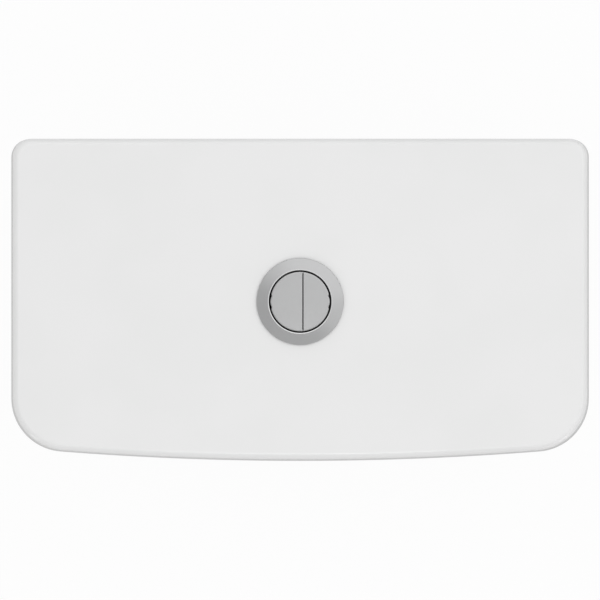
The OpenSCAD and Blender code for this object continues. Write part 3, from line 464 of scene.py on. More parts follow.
# joins or cuts one closed mesh with another and returns the result
def boolean(bm, tool, operation):
    made = []
    for part in (bm, tool):
        mesh = bpy.data.meshes.new("boolean_work")
        bmesh.ops.recalc_face_normals(part, faces=part.faces)
        part.to_mesh(mesh)
        part.free()
        work = bpy.data.objects.new("boolean_work", mesh)
        bpy.context.scene.collection.objects.link(work)
        made.append(work)
    step = made[0].modifiers.new("step", "BOOLEAN")
    step.operation, step.object, step.solver, step.use_self = operation, made[1], "EXACT", True
    result = bpy.data.meshes.new_from_object(made[0].evaluated_get(bpy.context.evaluated_depsgraph_get()))
    out = bmesh.new()
    out.from_mesh(result)
    for work in made:
        bpy.data.objects.remove(work)
    bpy.data.meshes.remove(result)
    return out


# lid and tank share one plan: straight back and sides, bowed front, round corners
planShape = {"width": 370.0, "back": 104.0, "front": -102.2, "cornerBack": 11.5, "cornerFront": 33.0,
             "bow": 2100.0, "leastCorner": 4.0}
planSteps = {"side": 14, "backCorner": 12, "back": 40, "frontCorner": 20, "front": 48}


def planRing(shape, inset, sideIn, frontIn, z):
    side = shape["width"] / 2 - sideIn - inset
    back = shape["back"] - inset
    front = shape["front"] + frontIn + inset
    cornerB = max(shape["cornerBack"] - inset, shape["leastCorner"])
    cornerF = max(shape["cornerFront"] - inset, shape["leastCorner"])
    bow = shape["bow"] - frontIn - inset
    reach = side - cornerF
    lean = math.asin(reach / (bow - cornerF))
    cornerY = front + bow - (bow - cornerF) * math.cos(lean)
    points = []

    def arc(x, y, r, first, last, steps, skip=0):
        for k in range(skip, steps + 1):
            turn = first + (last - first) * k / steps
            points.append((x + r * math.cos(turn), y + r * math.sin(turn), z))

    def line(first, last, steps):
        for k in range(1, steps):
            points.append((*(a + (b - a) * k / steps for a, b in zip(first, last)), z))

    quarter, s = math.pi / 2, planSteps
    line((side, cornerY), (side, back - cornerB), s["side"])
    arc(side - cornerB, back - cornerB, cornerB, 0, quarter, s["backCorner"])
    line((side - cornerB, back), (cornerB - side, back), s["back"])
    arc(cornerB - side, back - cornerB, cornerB, quarter, 2 * quarter, s["backCorner"])
    line((-side, back - cornerB), (-side, cornerY), s["side"])
    arc(-reach, cornerY, cornerF, 2 * quarter, 3 * quarter - lean, s["frontCorner"])
    arc(0, front + bow, bow, 3 * quarter - lean, 3 * quarter + lean, s["front"], 1)
    arc(reach, cornerY, cornerF, 3 * quarter + lean, 4 * quarter, s["frontCorner"], 1)
    return points


def quarterTurn(steps):
    return [math.pi / 2 * k / steps for k in range(steps + 1)]


lidShape = {"top": 380.3, "slab": 11.0, "wall": 11.0, "lean": 1.5, "frontLean": 1.3, "edge": 4.0, "rim": 2.0,
            "ceilingEdge": 6.0, "hole": 23.0, "holeEdge": 0.6, "spread": (0.04, 0.12, 0.25, 0.45, 0.7, 0.9)}
lidPlan = {**planShape, "front": -102.05, "cornerFront": 34.2, "bow": 1960.0}  # the glaze draws its front in


def lidRing(inset, z):
    start = lidLevel + lidShape["rim"]
    share = max(z - start, 0) / (lidShape["top"] - start)
    return planRing(lidPlan, inset, lidShape["lean"] * share, lidShape["frontLean"] * share, z)


def buildLid():
    top, wall, edge, rim = (lidShape[k] for k in ("top", "wall", "edge", "rim"))
    ceiling, curve = top - lidShape["slab"], lidShape["ceilingEdge"]
    outer = [lidRing(edge * (1 - math.cos(t)), top - edge * (1 - math.sin(t)))
             for t in quarterTurn(12)[::-1]]
    sides = [lidRing(0, lidLevel + rim + (top - edge - lidLevel - rim) * share) for share in (0.66, 0.33)]
    foot = [lidRing(rim * (1 - math.sin(t)), lidLevel + rim * (1 - math.cos(t)))
            for t in quarterTurn(6)[::-1]]
    inner = [lidRing(wall - rim * (1 - math.sin(t)), lidLevel + rim * (1 - math.cos(t)))
             for t in quarterTurn(6)]
    ceilingRings = [lidRing(wall + curve * (1 - math.cos(t)), ceiling - curve * (1 - math.sin(t)))
                    for t in quarterTurn(8)]
    turns = [math.atan2(y, x) for x, y, _ in outer[0]]

    def holeRing(extra, z):
        return [((lidShape["hole"] + extra) * math.cos(t), (lidShape["hole"] + extra) * math.sin(t), z)
                for t in turns]

    def between(first, last, share):
        return [tuple(a + (b - a) * share for a, b in zip(p, q)) for p, q in zip(first, last)]

    lip, spread = lidShape["holeEdge"], lidShape["spread"]
    topLip = [holeRing(lip * (1 - math.cos(t)), top - lip * (1 - math.sin(t))) for t in quarterTurn(3)]
    lowLip = [holeRing(lip * (1 - math.cos(t)), ceiling + lip * (1 - math.sin(t)))
              for t in quarterTurn(3)[::-1]]
    topRings = [between(topLip[-1], outer[0], share) for share in spread]
    underRings = [between(ceilingRings[-1], lowLip[0], 1 - share) for share in spread[::-1]]
    bm = bmesh.new()
    bands(bm, [*topLip, *topRings, *outer, *sides, *foot, *inner, *ceilingRings, *underRings, *lowLip], True)
    return bm


lugShape = {"apart": 230.0, "width": 34.0, "reach": 9.0, "rootLevel": 342.3, "round": 1.8, "sink": 1.0,
            "backTongue": (84.0, 91.0), "backRoot": 94.0, "frontTongue": (-82.05, -75.05),
            "frontRoot": -89.05}


# two lugs at the back and two at the front, each with a tongue inside the tank's mouth
def lidLugs():
    s = lugShape
    roof = lidShape["top"] - lidShape["slab"] + s["sink"]
    low, root = lidLevel - s["reach"], s["rootLevel"]
    (backNear, backFar), (frontFar, frontNear) = s["backTongue"], s["frontTongue"]
    boxes = ((low, backNear, backFar), (root, backNear, s["backRoot"]),
             (low, frontFar, frontNear), (root, s["frontRoot"], frontNear))
    bm = bmesh.new()
    for side in (-1, 1):
        x = side * s["apart"] / 2 - s["width"] / 2
        for level, first, last in boxes:
            roundedBox(bm, (x, first, level), (x + s["width"], last, roof), s["round"])
    return bm


lid = boolean(buildLid(), lidLugs(), "UNION")
toMetres(lid)
newPiece("glazed_lid", lid, lidGlaze, ["lid"])
print("lid built")

tankShape = {"rimLevel": 340.0, "wall": 10.0, "floor": 12.0, "overhang": 4.0, "lean": 14.0, "base": 22.0,
             "rim": 2.0, "floorEdge": 14.0}


def tankRing(inset, z):
    leanIn = tankShape["overhang"] + tankShape["lean"] * (1 - z / tankShape["rimLevel"])
    return planRing(planShape, inset, leanIn, leanIn, z)


def buildTank():
    top, wall, floor, rim = (tankShape[k] for k in ("rimLevel", "wall", "floor", "rim"))
    base, curve = tankShape["base"], tankShape["floorEdge"]
    under = [tankRing(base * (1 - math.sin(t)), base * (1 - math.cos(t))) for t in quarterTurn(12)]
    sides = [tankRing(0, base + (top - rim - base) * share) for share in (0.25, 0.5, 0.75)]
    outerRim = [tankRing(rim * (1 - math.cos(t)), top - rim * (1 - math.sin(t))) for t in quarterTurn(6)]
    innerRim = [tankRing(wall - rim * (1 - math.cos(t)), top - rim * (1 - math.sin(t)))
                for t in quarterTurn(6)[::-1]]
    inner = [tankRing(wall, floor + curve + (top - rim - floor - curve) * share)
             for share in (0.75, 0.5, 0.25)]
    floorEdge = [tankRing(wall + curve * (1 - math.sin(t)), floor + curve * (1 - math.cos(t)))
                 for t in quarterTurn(10)[::-1]]
    bm = bmesh.new()
    tube(bm, [*under, *sides, *outerRim, *innerRim, *inner, *floorEdge])
    return bm


# (x, y, radius) of the holes in the floor, and the pair of screw holes through the back
holeShape = {"outlet": (0.0, 0.0, 31.0), "leftBolt": (-75.0, 0.0, 5.5), "rightBolt": (75.0, 0.0, 5.5),
             "inlet": (112.0, 12.0, 12.08)}
screwHoles = {"apart": 200.0, "level": 290.0, "radius": 3.5, "back": 104.0, "deep": 15.0}
cutPast = 5.0  # how far the cutting tools stand out of the china


def tankHoles():
    bm = bmesh.new()
    for x, y, r in holeShape.values():
        plug(bm, r, -cutPast, tankShape["floor"] + cutPast, (x, y), 72)
    steps, r, back = 36, screwHoles["radius"], screwHoles["back"]
    turns = [2 * math.pi * i / steps for i in range(steps)]
    for side in (-1, 1):
        x = side * screwHoles["apart"] / 2
        tube(bm, [[(x + r * math.cos(t), y, screwHoles["level"] + r * math.sin(t)) for t in turns]
                  for y in (back - screwHoles["deep"], back + cutPast)])
    return bm


tank = boolean(buildTank(), tankHoles(), "DIFFERENCE")
toMetres(tank)
newPiece("glazed_tank", tank, tankGlaze, ["tank"])
print("tank built")

bezelShape = {"foot": 381.1, "flange": 27.85, "rimLean": 0.2, "edge": 1.2, "crown": 3.8, "bore": 20.0,
              "lip": 0.45, "stem": 22.3, "stemFloor": 352.1, "floorTop": 355.1, "threadDepth": 0.7,
              "pitch": 2.2, "threadEnds": (1.4, 2.0), "rodHoles": ((-9.0, 2.6), (10.5, 2.6)), "cutPast": 3.0}


# sloped collar, threaded stem and a floor with two rod holes
def buildBezel():
    b = bezelShape
    core, low, floor, foot = b["stem"] - b["threadDepth"], b["stemFloor"], b["floorTop"], b["foot"]
    crown = foot + b["crown"]
    profile = rounded([
        (0, low, 0), (core, low, 0.6), (core, foot, 0.3), (b["flange"], foot, 0.3),
        (b["flange"] - b["rimLean"], foot + b["edge"], 0.2), (b["bore"] + b["lip"], crown, 0.2),
        (b["bore"], crown - b["lip"] / 2, 0.15), (b["bore"], floor, 1.0), (0, floor, 0)], 6)
    body, cutters = bmesh.new(), bmesh.new()
    lathe(body, profile, steps=144, closed=False)
    for x, r in b["rodHoles"]:
        plug(cutters, r, low - b["cutPast"], floor + b["cutPast"], (x, 0), 36)
    bm = boolean(body, cutters, "DIFFERENCE")
    start, end = b["threadEnds"]
    threadRidge(bm, b["stem"], b["threadDepth"], b["pitch"], low + start, foot - end, steps=60)
    return bm


bezel = buildBezel()
toMetres(bezel)
newPiece("chrome_bezel", bezel, finishes["satin_chrome"], ["button_bezel"], 30.0)
print("bezel built")

buttonShape = {"radius": 19.2, "top": 384.7, "plate": 2.6, "low": 371.1, "wall": 1.5, "footEdge": 0.3,
               "split": 1.8, "gap": 0.58, "splitEnd": 0.6, "round": 1.05, "splitRound": 0.32,
               "lug": 8.3, "notch": 0.75, "shoulder": 0.6, "boss": 4.0, "rod": 2.3, "rodGrip": 10.0,
               "lapRoot": 0.3, "lapGap": 0.12, "lapDepth": 3.0, "lapWall": 0.1,
               "halves": {"full": (-1, -9.0), "half": (1, 10.5)}}
buttonSteps = {"rim": 36, "lug": 30, "split": 24, "round": 8, "lap": 4}


# how far the rim lies in beside its guide lug: a slow taper, then a rounded shoulder
def notchDepth(y):
    b = buttonShape
    reach = b["lug"] / 2
    share = min(max((reach + b["shoulder"] - abs(y)) / (2 * b["shoulder"]), 0.0), 1.0)
    return b["notch"] * (y / reach) ** 2 * share * share * (3 - 2 * share)


# plan of one half: round rim with a notched guide lug in its middle, then the straight split
def halfRing(side, inset, splitIn, rimLevel, splitLevel):
    b, s = buttonShape, buttonSteps
    r = b["radius"] - inset
    edge = side * b["split"] + b["gap"] / 2 + splitIn
    corner, start = math.acos(edge / r), math.asin((b["lug"] / 2 + b["shoulder"]) / b["radius"])
    beyond = [corner + (start - corner) * k / s["rim"] for k in range(s["rim"])]
    middle = [start * (k / s["lug"] - 1) for k in range(2 * s["lug"] + 1)]
    points = []
    for turn in [-t for t in beyond] + middle + beyond[::-1]:
        reach = r - notchDepth(b["radius"] * math.sin(turn))
        points.append((reach * math.cos(turn), reach * math.sin(turn), rimLevel))
    high = r * math.sin(corner) - b["splitEnd"]
    points += [(edge, high - 2 * high * k / s["split"], splitLevel) for k in range(s["split"] + 1)]
    return [(side * x, side * y, z) for x, y, z in points]


# the larger half's rim runs on across the split, just clear of the smaller half
def splitLap(bm):
    b, steps = buttonShape, buttonSteps["lap"]
    first = b["split"] - b["gap"] / 2 - b["lapRoot"]
    last = b["split"] + b["gap"] / 2 - b["lapGap"]
    low, turns = b["top"] - b["lapDepth"], quarterTurn(buttonSteps["round"])
    section = [(b["round"] * (1 - math.cos(t)), b["top"] - b["round"] * (1 - math.sin(t))) for t in turns]
    section += [(b["round"] + b["lapWall"], low), (0, low)]
    for end in (-1, 1):
        tube(bm, [[(x, end * math.sqrt((b["radius"] - inset) ** 2 - x * x), z) for inset, z in section]
                  for x in (first + (last - first) * k / steps for k in range(steps + 1))])


def buildButton(side, rodX):
    b = buttonShape
    top, low, wall, edge = b["top"], b["low"], b["wall"], b["footEdge"]
    under = top - b["plate"]
    rings = [halfRing(side, wall, wall, z, z) for z in (under, low + edge)]
    rings += [halfRing(side, inset, inset, low, low) for inset in (wall - edge, edge)]
    rings.append(halfRing(side, 0, 0, low + edge, low + edge))
    for t in quarterTurn(buttonSteps["round"]):
        inward, down = 1 - math.cos(t), 1 - math.sin(t)
        rings.append(halfRing(side, b["round"] * inward, b["splitRound"] * inward,
                              top - b["round"] * down, top - b["splitRound"] * down))
    bm = bmesh.new()
    tube(bm, rings)
    grip, seat = low + b["rodGrip"], under + edge
    lathe(bm, [(0, grip), (b["rod"], grip), (b["rod"], low), (b["boss"], low), (b["boss"], seat), (0, seat)],
          (rodX, 0), 48, False)
    if side < 0:
        splitLap(bm)
    return bm


for half, (side, rodX) in buttonShape["halves"].items():
    button = buildButton(side, rodX)
    toMetres(button)
    newPiece(f"satin_{half}_button", button, finishes["satin_chrome"], [f"{half}_flush_button"], 50.0)
print("buttons built")

springShape = {"low": 355.1, "high": 382.1, "coil": 5.6, "wire": 0.6, "turns": 6.0, "press": 8.0,
               "clear": 0.02, "endTurn": 0.9, "endRise": 1.3, "springs": {"full": -9.0, "half": 10.5}}


# wound wire with closed ends, between the bezel's floor and its button; it is built at one length
def buildSpring(x):
    s = springShape
    steps, sides, flat = 40, 10, s["endTurn"]
    count = int(steps * s["turns"])
    low, high = s["low"] + s["wire"] + s["clear"], s["high"] - s["wire"] - s["clear"]
    rise = s["endRise"] * s["wire"]
    rolls = [2 * math.pi * i / sides for i in range(sides)]
    rings = []
    for k in range(count + 1):
        turn = k / steps
        if turn < s["turns"] - flat:
            share = max((turn - flat) / (s["turns"] - 2 * flat), 0.0)
            z = low + rise * min(turn, flat) / flat + (high - low - rise) * share
        else:
            z = high - rise * (s["turns"] - turn) / flat
        ring = []
        for roll in rolls:
            r = s["coil"] + s["wire"] * math.cos(roll)
            ring.append((x + r * math.cos(2 * math.pi * turn), r * math.sin(2 * math.pi * turn),
                         z + s["wire"] * math.sin(roll)))
        rings.append(ring)
    bm = bmesh.new()
    tube(bm, rings)
    return bm


for half, x in springShape["springs"].items():
    spring = buildSpring(x)
    toMetres(spring)
    piece = newPiece(f"wound_{half}_spring", spring, finishes["steel"], [f"{half}_flush_spring"], 60.0)
    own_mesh(piece)
print("springs wound")

doughnutShape = {"inner": 29.6, "recess": 38.6, "outer": 52.0, "taper": 6.0, "low": -30.0, "step": -13.6,
                 "round": 3.0}


# foam ring round the outlet, recessed over the back nut
def buildDoughnut():
    d = doughnutShape
    profile = rounded([
        (d["inner"], d["low"], d["round"]), (d["outer"] - d["taper"], d["low"], d["round"] * 1.5),
        (d["outer"], d["step"], d["round"] * 2), (d["outer"], 0, d["round"]),
        (d["recess"], 0, d["round"] / 2), (d["recess"], d["step"], d["round"] / 2),
        (d["inner"], d["step"], d["round"] / 2)], 7)
    bm = bmesh.new()
    lathe(bm, profile, steps=112)
    return bm


doughnut = buildDoughnut()
toMetres(doughnut)
newPiece("foam_doughnut", doughnut, foamLook, ["coupling_doughnut"])
print("doughnut built")

boltShape = {"apart": 150.0, "radius": 4.0, "shank": 3.5, "depth": 0.7, "pitch": 1.25, "tip": -60.0,
             "point": (0.5, 0.6), "threadEnds": (0.8, 0.6), "nutLevel": -8.1, "nutTop": -1.6, "nutClear": 0.1,
             "head": 17.6, "headTop": 22.9, "headSink": 0.5, "flats": 13.0}


def buildBolts():
    b = boltShape
    core, tip, level, shank = b["radius"] - b["depth"], b["tip"], b["nutLevel"], b["shank"]
    top, (pointIn, pointUp), (start, end) = b["head"] + b["headSink"], b["point"], b["threadEnds"]
    bm = bmesh.new()
    for side in (-1, 1):
        centre = (side * b["apart"] / 2, 0.0)
        lathe(bm, [(0, tip), (core - pointIn, tip), (core, tip + pointUp), (core, level), (shank, level),
                   (shank, top), (0, top)], centre, 36, False)
        threadRidge(bm, b["radius"], b["depth"], b["pitch"], tip + start, level - end, centre, 28)
        hexSolid(bm, b["flats"], b["head"], b["headTop"], centre)
    return bm


def buildNuts():
    b = boltShape
    bm = bmesh.new()
    for side in (-1, 1):
        hexSolid(bm, b["flats"], b["nutLevel"], b["nutTop"], (side * b["apart"] / 2, 0.0),
                 b["shank"] + b["nutClear"])
    return bm


steelPieces = (("threaded_bolts", buildBolts, "coupling_bolts"), ("hex_nuts", buildNuts, "bolt_nuts"))
for name, build, node in steelPieces:
    made = build()
    toMetres(made)
    newPiece(name, made, finishes["steel"], [node], 30.0)
print("bolts and nuts built")


cageShape = {"outer": 42.0, "bore": 39.5, "round": 0.5, "foot": (19.5, 27.5), "footBore": 38.0,
             "tabs": (34.6, 39.0, 21.5, 24.7, 20.0), "legs": (39.9, 41.6, 26.5, 64.5, 22.0),
             "bucket": (63.5, 151.5), "guide": (18.6, 21.0), "spoke": (19.6, 40.5, 2.0), "spider": 4.0,
             "sink": 0.05, "post": (38.6, 43.6, 6.0), "postEnds": (131.5, 275.198),
             "tooth": (42.6, 44.8, 4.0), "teeth": 13, "toothPitch": 8.0, "toothHeight": 3.0}


# upright strip bent round the axis, with round corners
def bentStrip(bm, inner, outer, low, high, span, turn, corner=0.4):
    middle, start = (inner + outer) / 2, math.radians(turn)
    reach = math.radians(span) / 2 * middle
    corners = ((-reach, inner), (reach, inner), (reach, outer), (-reach, outer))
    plan = rounded([(u, r, corner) for u, r in corners], 3)
    points = []
    for (u, r), (nextU, nextR) in zip(plan, plan[1:] + plan[:1]):
        steps = max(1, round(abs(nextU - u)))
        shares = [k / steps for k in range(steps)]
        points += [(start + (u + (nextU - u) * s) / middle, r + (nextR - r) * s) for s in shares]
    tube(bm, [[(r * math.cos(t), r * math.sin(t), z) for t, r in points] for z in (low, high)])


# its steps keep the facets' edges off the walls that meet the ring
def turnedRing(bm, inner, outer, low, high, edge, steps=140):
    corners = ((inner, low), (outer, low), (outer, high), (inner, high))
    lathe(bm, rounded([(r, z, edge) for r, z in corners], 3), steps=steps)


# bucket on four legs over a foot ring, spoked guide inside and two toothed posts above
def buildCage():
    c = cageShape
    (low, high), edge, sink, spider = c["bucket"], c["round"], c["sink"], c["spider"]
    bucket, rest = bmesh.new(), bmesh.new()
    turnedRing(bucket, c["bore"], c["outer"], low, high, edge)
    turnedRing(rest, c["footBore"], c["outer"], *c["foot"], edge)
    turnedRing(rest, *c["guide"], low, low + spider, edge)
    for turn in (0, 120, 240):
        bentStrip(rest, *c["tabs"], turn)
    for turn in (45, 135, 225, 315):
        bentStrip(rest, *c["legs"], turn)
        spoke(rest, c["spoke"], low + sink, low + spider - sink, edge, turn)
    for turn in (0, 180):
        spoke(rest, c["post"], *c["postEnds"], edge, turn)
        for z in (high + c["toothPitch"] * (k + 0.5) for k in range(c["teeth"])):
            spoke(rest, c["tooth"], z, z + c["toothHeight"], edge, turn)
    return boolean(bucket, rest, "UNION")


backNutShape = {"bore": 29.1, "outer": 35.0, "low": -13.0, "high": 0.0, "round": 0.6, "lugs": 8,
                "lug": (30.0, 38.0, 3.0), "sink": 0.05}


def buildBackNut():
    b = backNutShape
    low, high, sink = b["low"], b["high"], b["sink"]
    ring, lugs = bmesh.new(), bmesh.new()
    turnedRing(ring, b["bore"], b["outer"], low, high, b["round"])
    for k in range(b["lugs"]):
        spoke(lugs, b["lug"], low + sink, high - sink, b["round"], 360 * k / b["lugs"])
    return boolean(ring, lugs, "UNION")


for node, build in (("valve_cage", buildCage), ("flush_back_nut", buildBackNut)):
    made = build()
    toMetres(made)
    newPiece(node + "_finished", made, finishes[slotOf[node]], [node], 32.0)
print("cage and back nut built")


# hard edges in runs that meet, so that a small corner doesn't hold back the rounding of the rest
def edgeRuns(hard):
    waiting = dict.fromkeys(hard)
    runs = []
    while waiting:
        run = [next(iter(waiting))]
        del waiting[run[0]]
        for edge in run:
            for near in [n for v in edge.verts for n in v.link_edges]:
                if near in waiting:
                    del waiting[near]
                    run.append(near)
        runs.append(run)
    return runs


# shares of a side that a rounding may take, towards a hard point and otherwise, and the bend of a corner
roomShares = {"shared": 0.45, "free": 0.9, "bend": -0.7}


# how wide a run can be rounded before it meets its neighbours or its own corners
def freeWidth(run, hardPoints):
    inRun = dict.fromkeys(run)
    shared, free, bend = (roomShares[k] for k in ("shared", "free", "bend"))

    def isCorner(v):
        ways = [(n.other_vert(v).co - v.co).normalized() for n in v.link_edges if n in inRun]
        return len(ways) > 2 or len(ways) == 2 and ways[0].dot(ways[1]) > bend

    room = []
    for edge in run:
        for v in edge.verts:
            room += [side.calc_length() * (shared if side.other_vert(v) in hardPoints else free)
                     for side in v.link_edges if side not in inRun]
        corners = sum(isCorner(v) for v in edge.verts)
        if corners:
            room.append(edge.calc_length() * free / corners)
    return min(room)


def roundEdges(bm, size, hardest=32.0, least=0.02):
    hard = [e for e in bm.edges if len(e.link_faces) == 2 and e.calc_face_angle() > math.radians(hardest)]
    hardPoints = {v for e in hard for v in e.verts}
    for run in edgeRuns(hard):
        width = min(size * mm, freeWidth(run, hardPoints))
        if width > least * mm:
            bmesh.ops.bevel(bm, geom=run, offset=width, segments=2, profile=0.5, affect="EDGES",
                            clamp_overlap=True)
            hardPoints = {v for v in hardPoints if v.is_valid}


# draws a plain thread's cylinder in to its core
def sinkToCore(bm, thread, nearRadius=0.5, nearLevel=0.1):
    cx, cy = (c * mm for c in thread["centre"])
    crest, core = thread["radius"] * mm, (thread["radius"] - thread["depth"]) * mm
    low, high = thread["low"] - nearLevel, thread["high"] + nearLevel
    for v in bm.verts:
        reach = math.hypot(v.co.x - cx, v.co.y - cy)
        if abs(reach - crest) < nearRadius * mm and low < v.co.z / mm < high:
            v.co.x, v.co.y = cx + (v.co.x - cx) * core / reach, cy + (v.co.y - cy) * core / reach


flatness = math.radians(0.5)  # faces this flat are one


# a CAD solid with its hard edges rounded as a mould leaves them, and threads cut where it has any
def dressed(node, edge, thread=None):
    bm = bmesh.new()
    bm.from_mesh(nodes[node].data)
    bmesh.ops.remove_doubles(bm, verts=bm.verts, dist=mergeWidth)
    if thread:
        sinkToCore(bm, thread)
    bmesh.ops.dissolve_limit(bm, angle_limit=flatness, verts=bm.verts, edges=bm.edges)
    roundEdges(bm, edge)
    if thread:
        ridge = bmesh.new()
        start, end = thread["ends"]
        threadRidge(ridge, thread["radius"], thread["depth"], thread["pitch"], thread["low"] + start,
                    thread["high"] - end, thread["centre"], 60)
        toMetres(ridge)
        work = bpy.data.meshes.new("ridge_work")
        ridge.to_mesh(work)
        ridge.free()
        bm.from_mesh(work)
        bpy.data.meshes.remove(work)
    return newPiece(node + "_finished", bm, finishes[slotOf[node]], [node], 32.0)


# edge rounding of each moulded, turned or cut piece
edgeRounding = {
    "button_gasket": 0.2, "button_nut": 0.6, "full_flush_rod": 0.25, "half_flush_rod": 0.25,
    "bolt_head_washers": 0.3, "bolt_rubber_washers": 0.9, "bolt_under_washers": 0.3,
    "flush_base": 0.4, "flush_base_washer": 0.8, "valve_head": 0.25, "rocker_pins": 0.25,
    "full_flush_rocker": 0.4, "half_flush_rocker": 0.4, "overflow_tube": 0.5, "lifting_yoke": 0.6,
    "full_flush_float": 0.6, "half_flush_float": 0.6, "half_float_clip": 0.5, "seal_carrier": 0.5,
    "flush_seal": 0.5, "fill_shank": 0.4, "inlet_washer": 0.5, "inlet_nut": 0.6, "inlet_filter": 0.15,
    "fill_riser": 0.4, "riser_lock_nut": 0.3, "fill_head": 0.6, "fill_cap": 0.5, "diaphragm": 0.5,
    "discharge_tube": 0.4, "float_cup": 0.6, "float_link": 0.3, "link_clip": 0.3, "float_lever": 0.4,
    "lever_pin": 0.25}
threads = {
    "flush_base": {"centre": (0, 0), "radius": 29.0, "depth": 1.1, "pitch": 3.0, "low": -36.0, "high": 0.0,
                   "ends": (0.8, 0.6)},
    "fill_shank": {"centre": (112, 12), "radius": 10.48, "depth": 1.1, "pitch": 1.81, "low": -45.0,
                   "high": -11.0, "ends": (0.8, 0.6)}}
for node, edge in edgeRounding.items():
    dressed(node, edge, threads.get(node))
print("dressed", len(edgeRounding), "pieces; left as packed:", sorted(
    set(nodes) - {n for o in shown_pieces() for n in o.get("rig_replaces", [])}))

# floor, light and camera
stageShape = {"floorHalf": 9.0, "floorGap": 0.0005, "floorWhite": 0.95, "floorMatt": 0.80, "world": 0.67}


# one for the rays that see the stage, nought for those that light the part
def lightMask(root):
    kinds = ("Camera", "Glossy", "Transmission")
    rays = [root.node("ShaderNodeLightPath", out=f"Is {kind} Ray") for kind in kinds]
    return root.node("ShaderNodeClamp", {}, {"Value": rays[0] + rays[1] + rays[2]})


def stagePiece(name, mesh, material):
    mesh.materials.append(material)
    piece = bpy.data.objects.new(name, mesh)
    bpy.context.scene.collection.objects.link(piece)
    return piece


def square(x, y, z):
    return [(-x, -y, z), (x, -y, z), (x, y, z), (-x, y, z)], [(0, 1, 2, 3)]


def buildFloor():
    s = stageShape
    half, low, grey = s["floorHalf"], cadBox[0][2] - s["floorGap"], s["floorMatt"]
    points, faces = square(half, half, low)
    mesh = bpy.data.meshes.new("floor")
    mesh.from_pydata(points, [], faces)
    material, root = startMaterial("pale_floor")
    matt = root.node("ShaderNodeBsdfDiffuse", {}, {"Color": (grey, grey, grey, 1)})
    white = root.node("ShaderNodeEmission", {}, {"Color": (1, 1, 1, 1), "Strength": 1.0})
    seen = lightMask(root) * s["floorWhite"]
    shade = root.node("ShaderNodeMixShader", {}, {0: seen, 1: matt, 2: white})
    below = root.node("ShaderNodeNewGeometry", out="Backfacing")  # clear from underneath
    clear = root.node("ShaderNodeBsdfTransparent")
    oneSided = root.node("ShaderNodeMixShader", {}, {0: below, 1: shade, 2: clear})
    root.node("ShaderNodeOutputMaterial", {}, {"Surface": oneSided})
    stagePiece("floor", mesh, material)


def buildWorld():
    world = bpy.data.worlds.new("studio")
    bpy.context.scene.world = world
    world.use_nodes = True
    world.node_tree.nodes.clear()
    root = Sock(world.node_tree)
    lit, seen = (root.node("ShaderNodeBackground", {}, {"Color": (1, 1, 1, 1), "Strength": strength})
                 for strength in (stageShape["world"], 1.0))
    both = root.node("ShaderNodeMixShader", {}, {0: lightMask(root), 1: lit, 2: seen})
    root.node("ShaderNodeOutputWorld", {}, {"Surface": both})


# each lamp: place, size and power
lamps = {"overhead": ((0.4, 0.1, 2.6), (2.4, 2.4), 22.0), "frontFill": ((-1.4, -1.8, 1.6), (1.4, 1.0), 2.0)}
lampAim = Vector((0, 0, 0.35))


def buildLamps():
    for name, (place, size, power) in lamps.items():
        lamp = bpy.data.lights.new(name, "AREA")
        lamp.shape, lamp.size, lamp.size_y, lamp.energy = "RECTANGLE", *size, power
        holder = bpy.data.objects.new(name, lamp)
        bpy.context.scene.collection.objects.link(holder)
        holder.location = place
        holder.rotation_euler = (lampAim - Vector(place)).to_track_quat("-Z", "Y").to_euler()
        holder.visible_camera = False
        holder.visible_glossy = False


# studio cards that only shiny faces see: span of bearing and height in degrees, and brightness
cards = {"shade": ((150, 314), (24, 70), 0.68), "glow": ((3, 117), (28, 68), 1.25),
         "frontStrip": ((262, 278), (62, 80), 3.2), "backStrip": ((98.0, 99.0), (64, 78), 4.0),
         "leftBox": ((226, 236), (2, 34), 2.4), "rightBox": ((303, 313), (2, 34), 2.8)}
# painted shadow: the floor close to the tank, as the glaze mirrors it, darkened towards the middle to stand
# in for the tank's shade on it
floorShadowCard = {"half": (0.62, 0.50), "lift": 0.0002, "near": 0.52, "fade": (0.40, 0.98)}


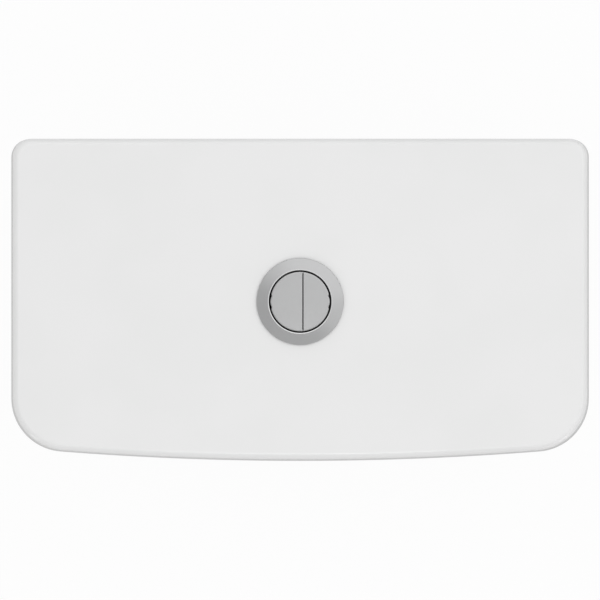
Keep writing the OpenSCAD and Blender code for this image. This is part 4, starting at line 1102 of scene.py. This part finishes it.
def dome(bearing, height, reach=4.0, steps=24, rows=4):
    turns = [math.radians(bearing[0] + (bearing[1] - bearing[0]) * i / steps) for i in range(steps + 1)]
    grid = []
    for j in range(rows + 1):
        rise = math.radians(height[0] + (height[1] - height[0]) * j / rows)
        flat, up = reach * math.cos(rise), reach * math.sin(rise)
        grid += [(flat * math.cos(t), flat * math.sin(t), up) for t in turns]
    wide = steps + 1
    firsts = [j * wide + i for j in range(rows) for i in range(steps)]
    faces = [(k, k + 1, k + 1 + wide, k + wide) for k in firsts]
    return grid, faces


def buildCard(name, points, faces, strength, fade=None):
    mesh = bpy.data.meshes.new(name)
    mesh.from_pydata(points, [], faces)
    material, root = startMaterial(name)
    colour = (1, 1, 1, 1)
    # with a fade the card is grey near its middle and white further out: a painted shadow
    if fade:
        reach = scaledReach(root, objectCoords(root), fade["scale"])
        colour = mixColour(root, ramp(root, reach, *fade["span"]), (fade["near"],) * 3, (1, 1, 1))
    light = root.node("ShaderNodeEmission", {}, {"Color": colour, "Strength": strength})
    root.node("ShaderNodeOutputMaterial", {}, {"Surface": light})
    card = stagePiece(name, mesh, material)
    for ray in ("camera", "diffuse", "transmission", "volume_scatter", "shadow"):
        setattr(card, "visible_" + ray, False)


def buildCards():
    for name, (bearing, height, strength) in cards.items():
        buildCard(name + "_card", *dome(bearing, height), strength)
    # the floor card is a painted shadow of the tank on the floor, seen only in reflections
    (x, y), low = floorShadowCard["half"], cadBox[0][2] - stageShape["floorGap"] + floorShadowCard["lift"]
    fade = {"scale": (1 / x, 1 / y, 0), "near": floorShadowCard["near"], "span": floorShadowCard["fade"]}
    buildCard("floor_shadow_card", *square(x, y, low), 1.0, fade)


cameraShape = {"lens": 1100.0, "sensor": 36.0, "pixel": 0.6407, "pixels": 600, "plane": 342.5,
               "x": -0.06, "y": 1.02, "clipEnd": 100.0}


def buildCamera():
    c = cameraShape
    view = bpy.data.cameras.new("camera")
    view.lens, view.sensor_width, view.clip_end = c["lens"], c["sensor"], c["clipEnd"]
    camera = bpy.data.objects.new("camera", view)
    bpy.context.scene.collection.objects.link(camera)
    distance = c["pixel"] * c["pixels"] / c["sensor"] * c["lens"]
    camera.location = (c["x"] * mm, c["y"] * mm, (c["plane"] + distance) * mm)
    bpy.context.scene.camera = camera


buildFloor()
buildWorld()
buildLamps()
buildCards()
buildCamera()
bpy.context.scene.view_settings.view_transform = "Standard"
print("stage set")
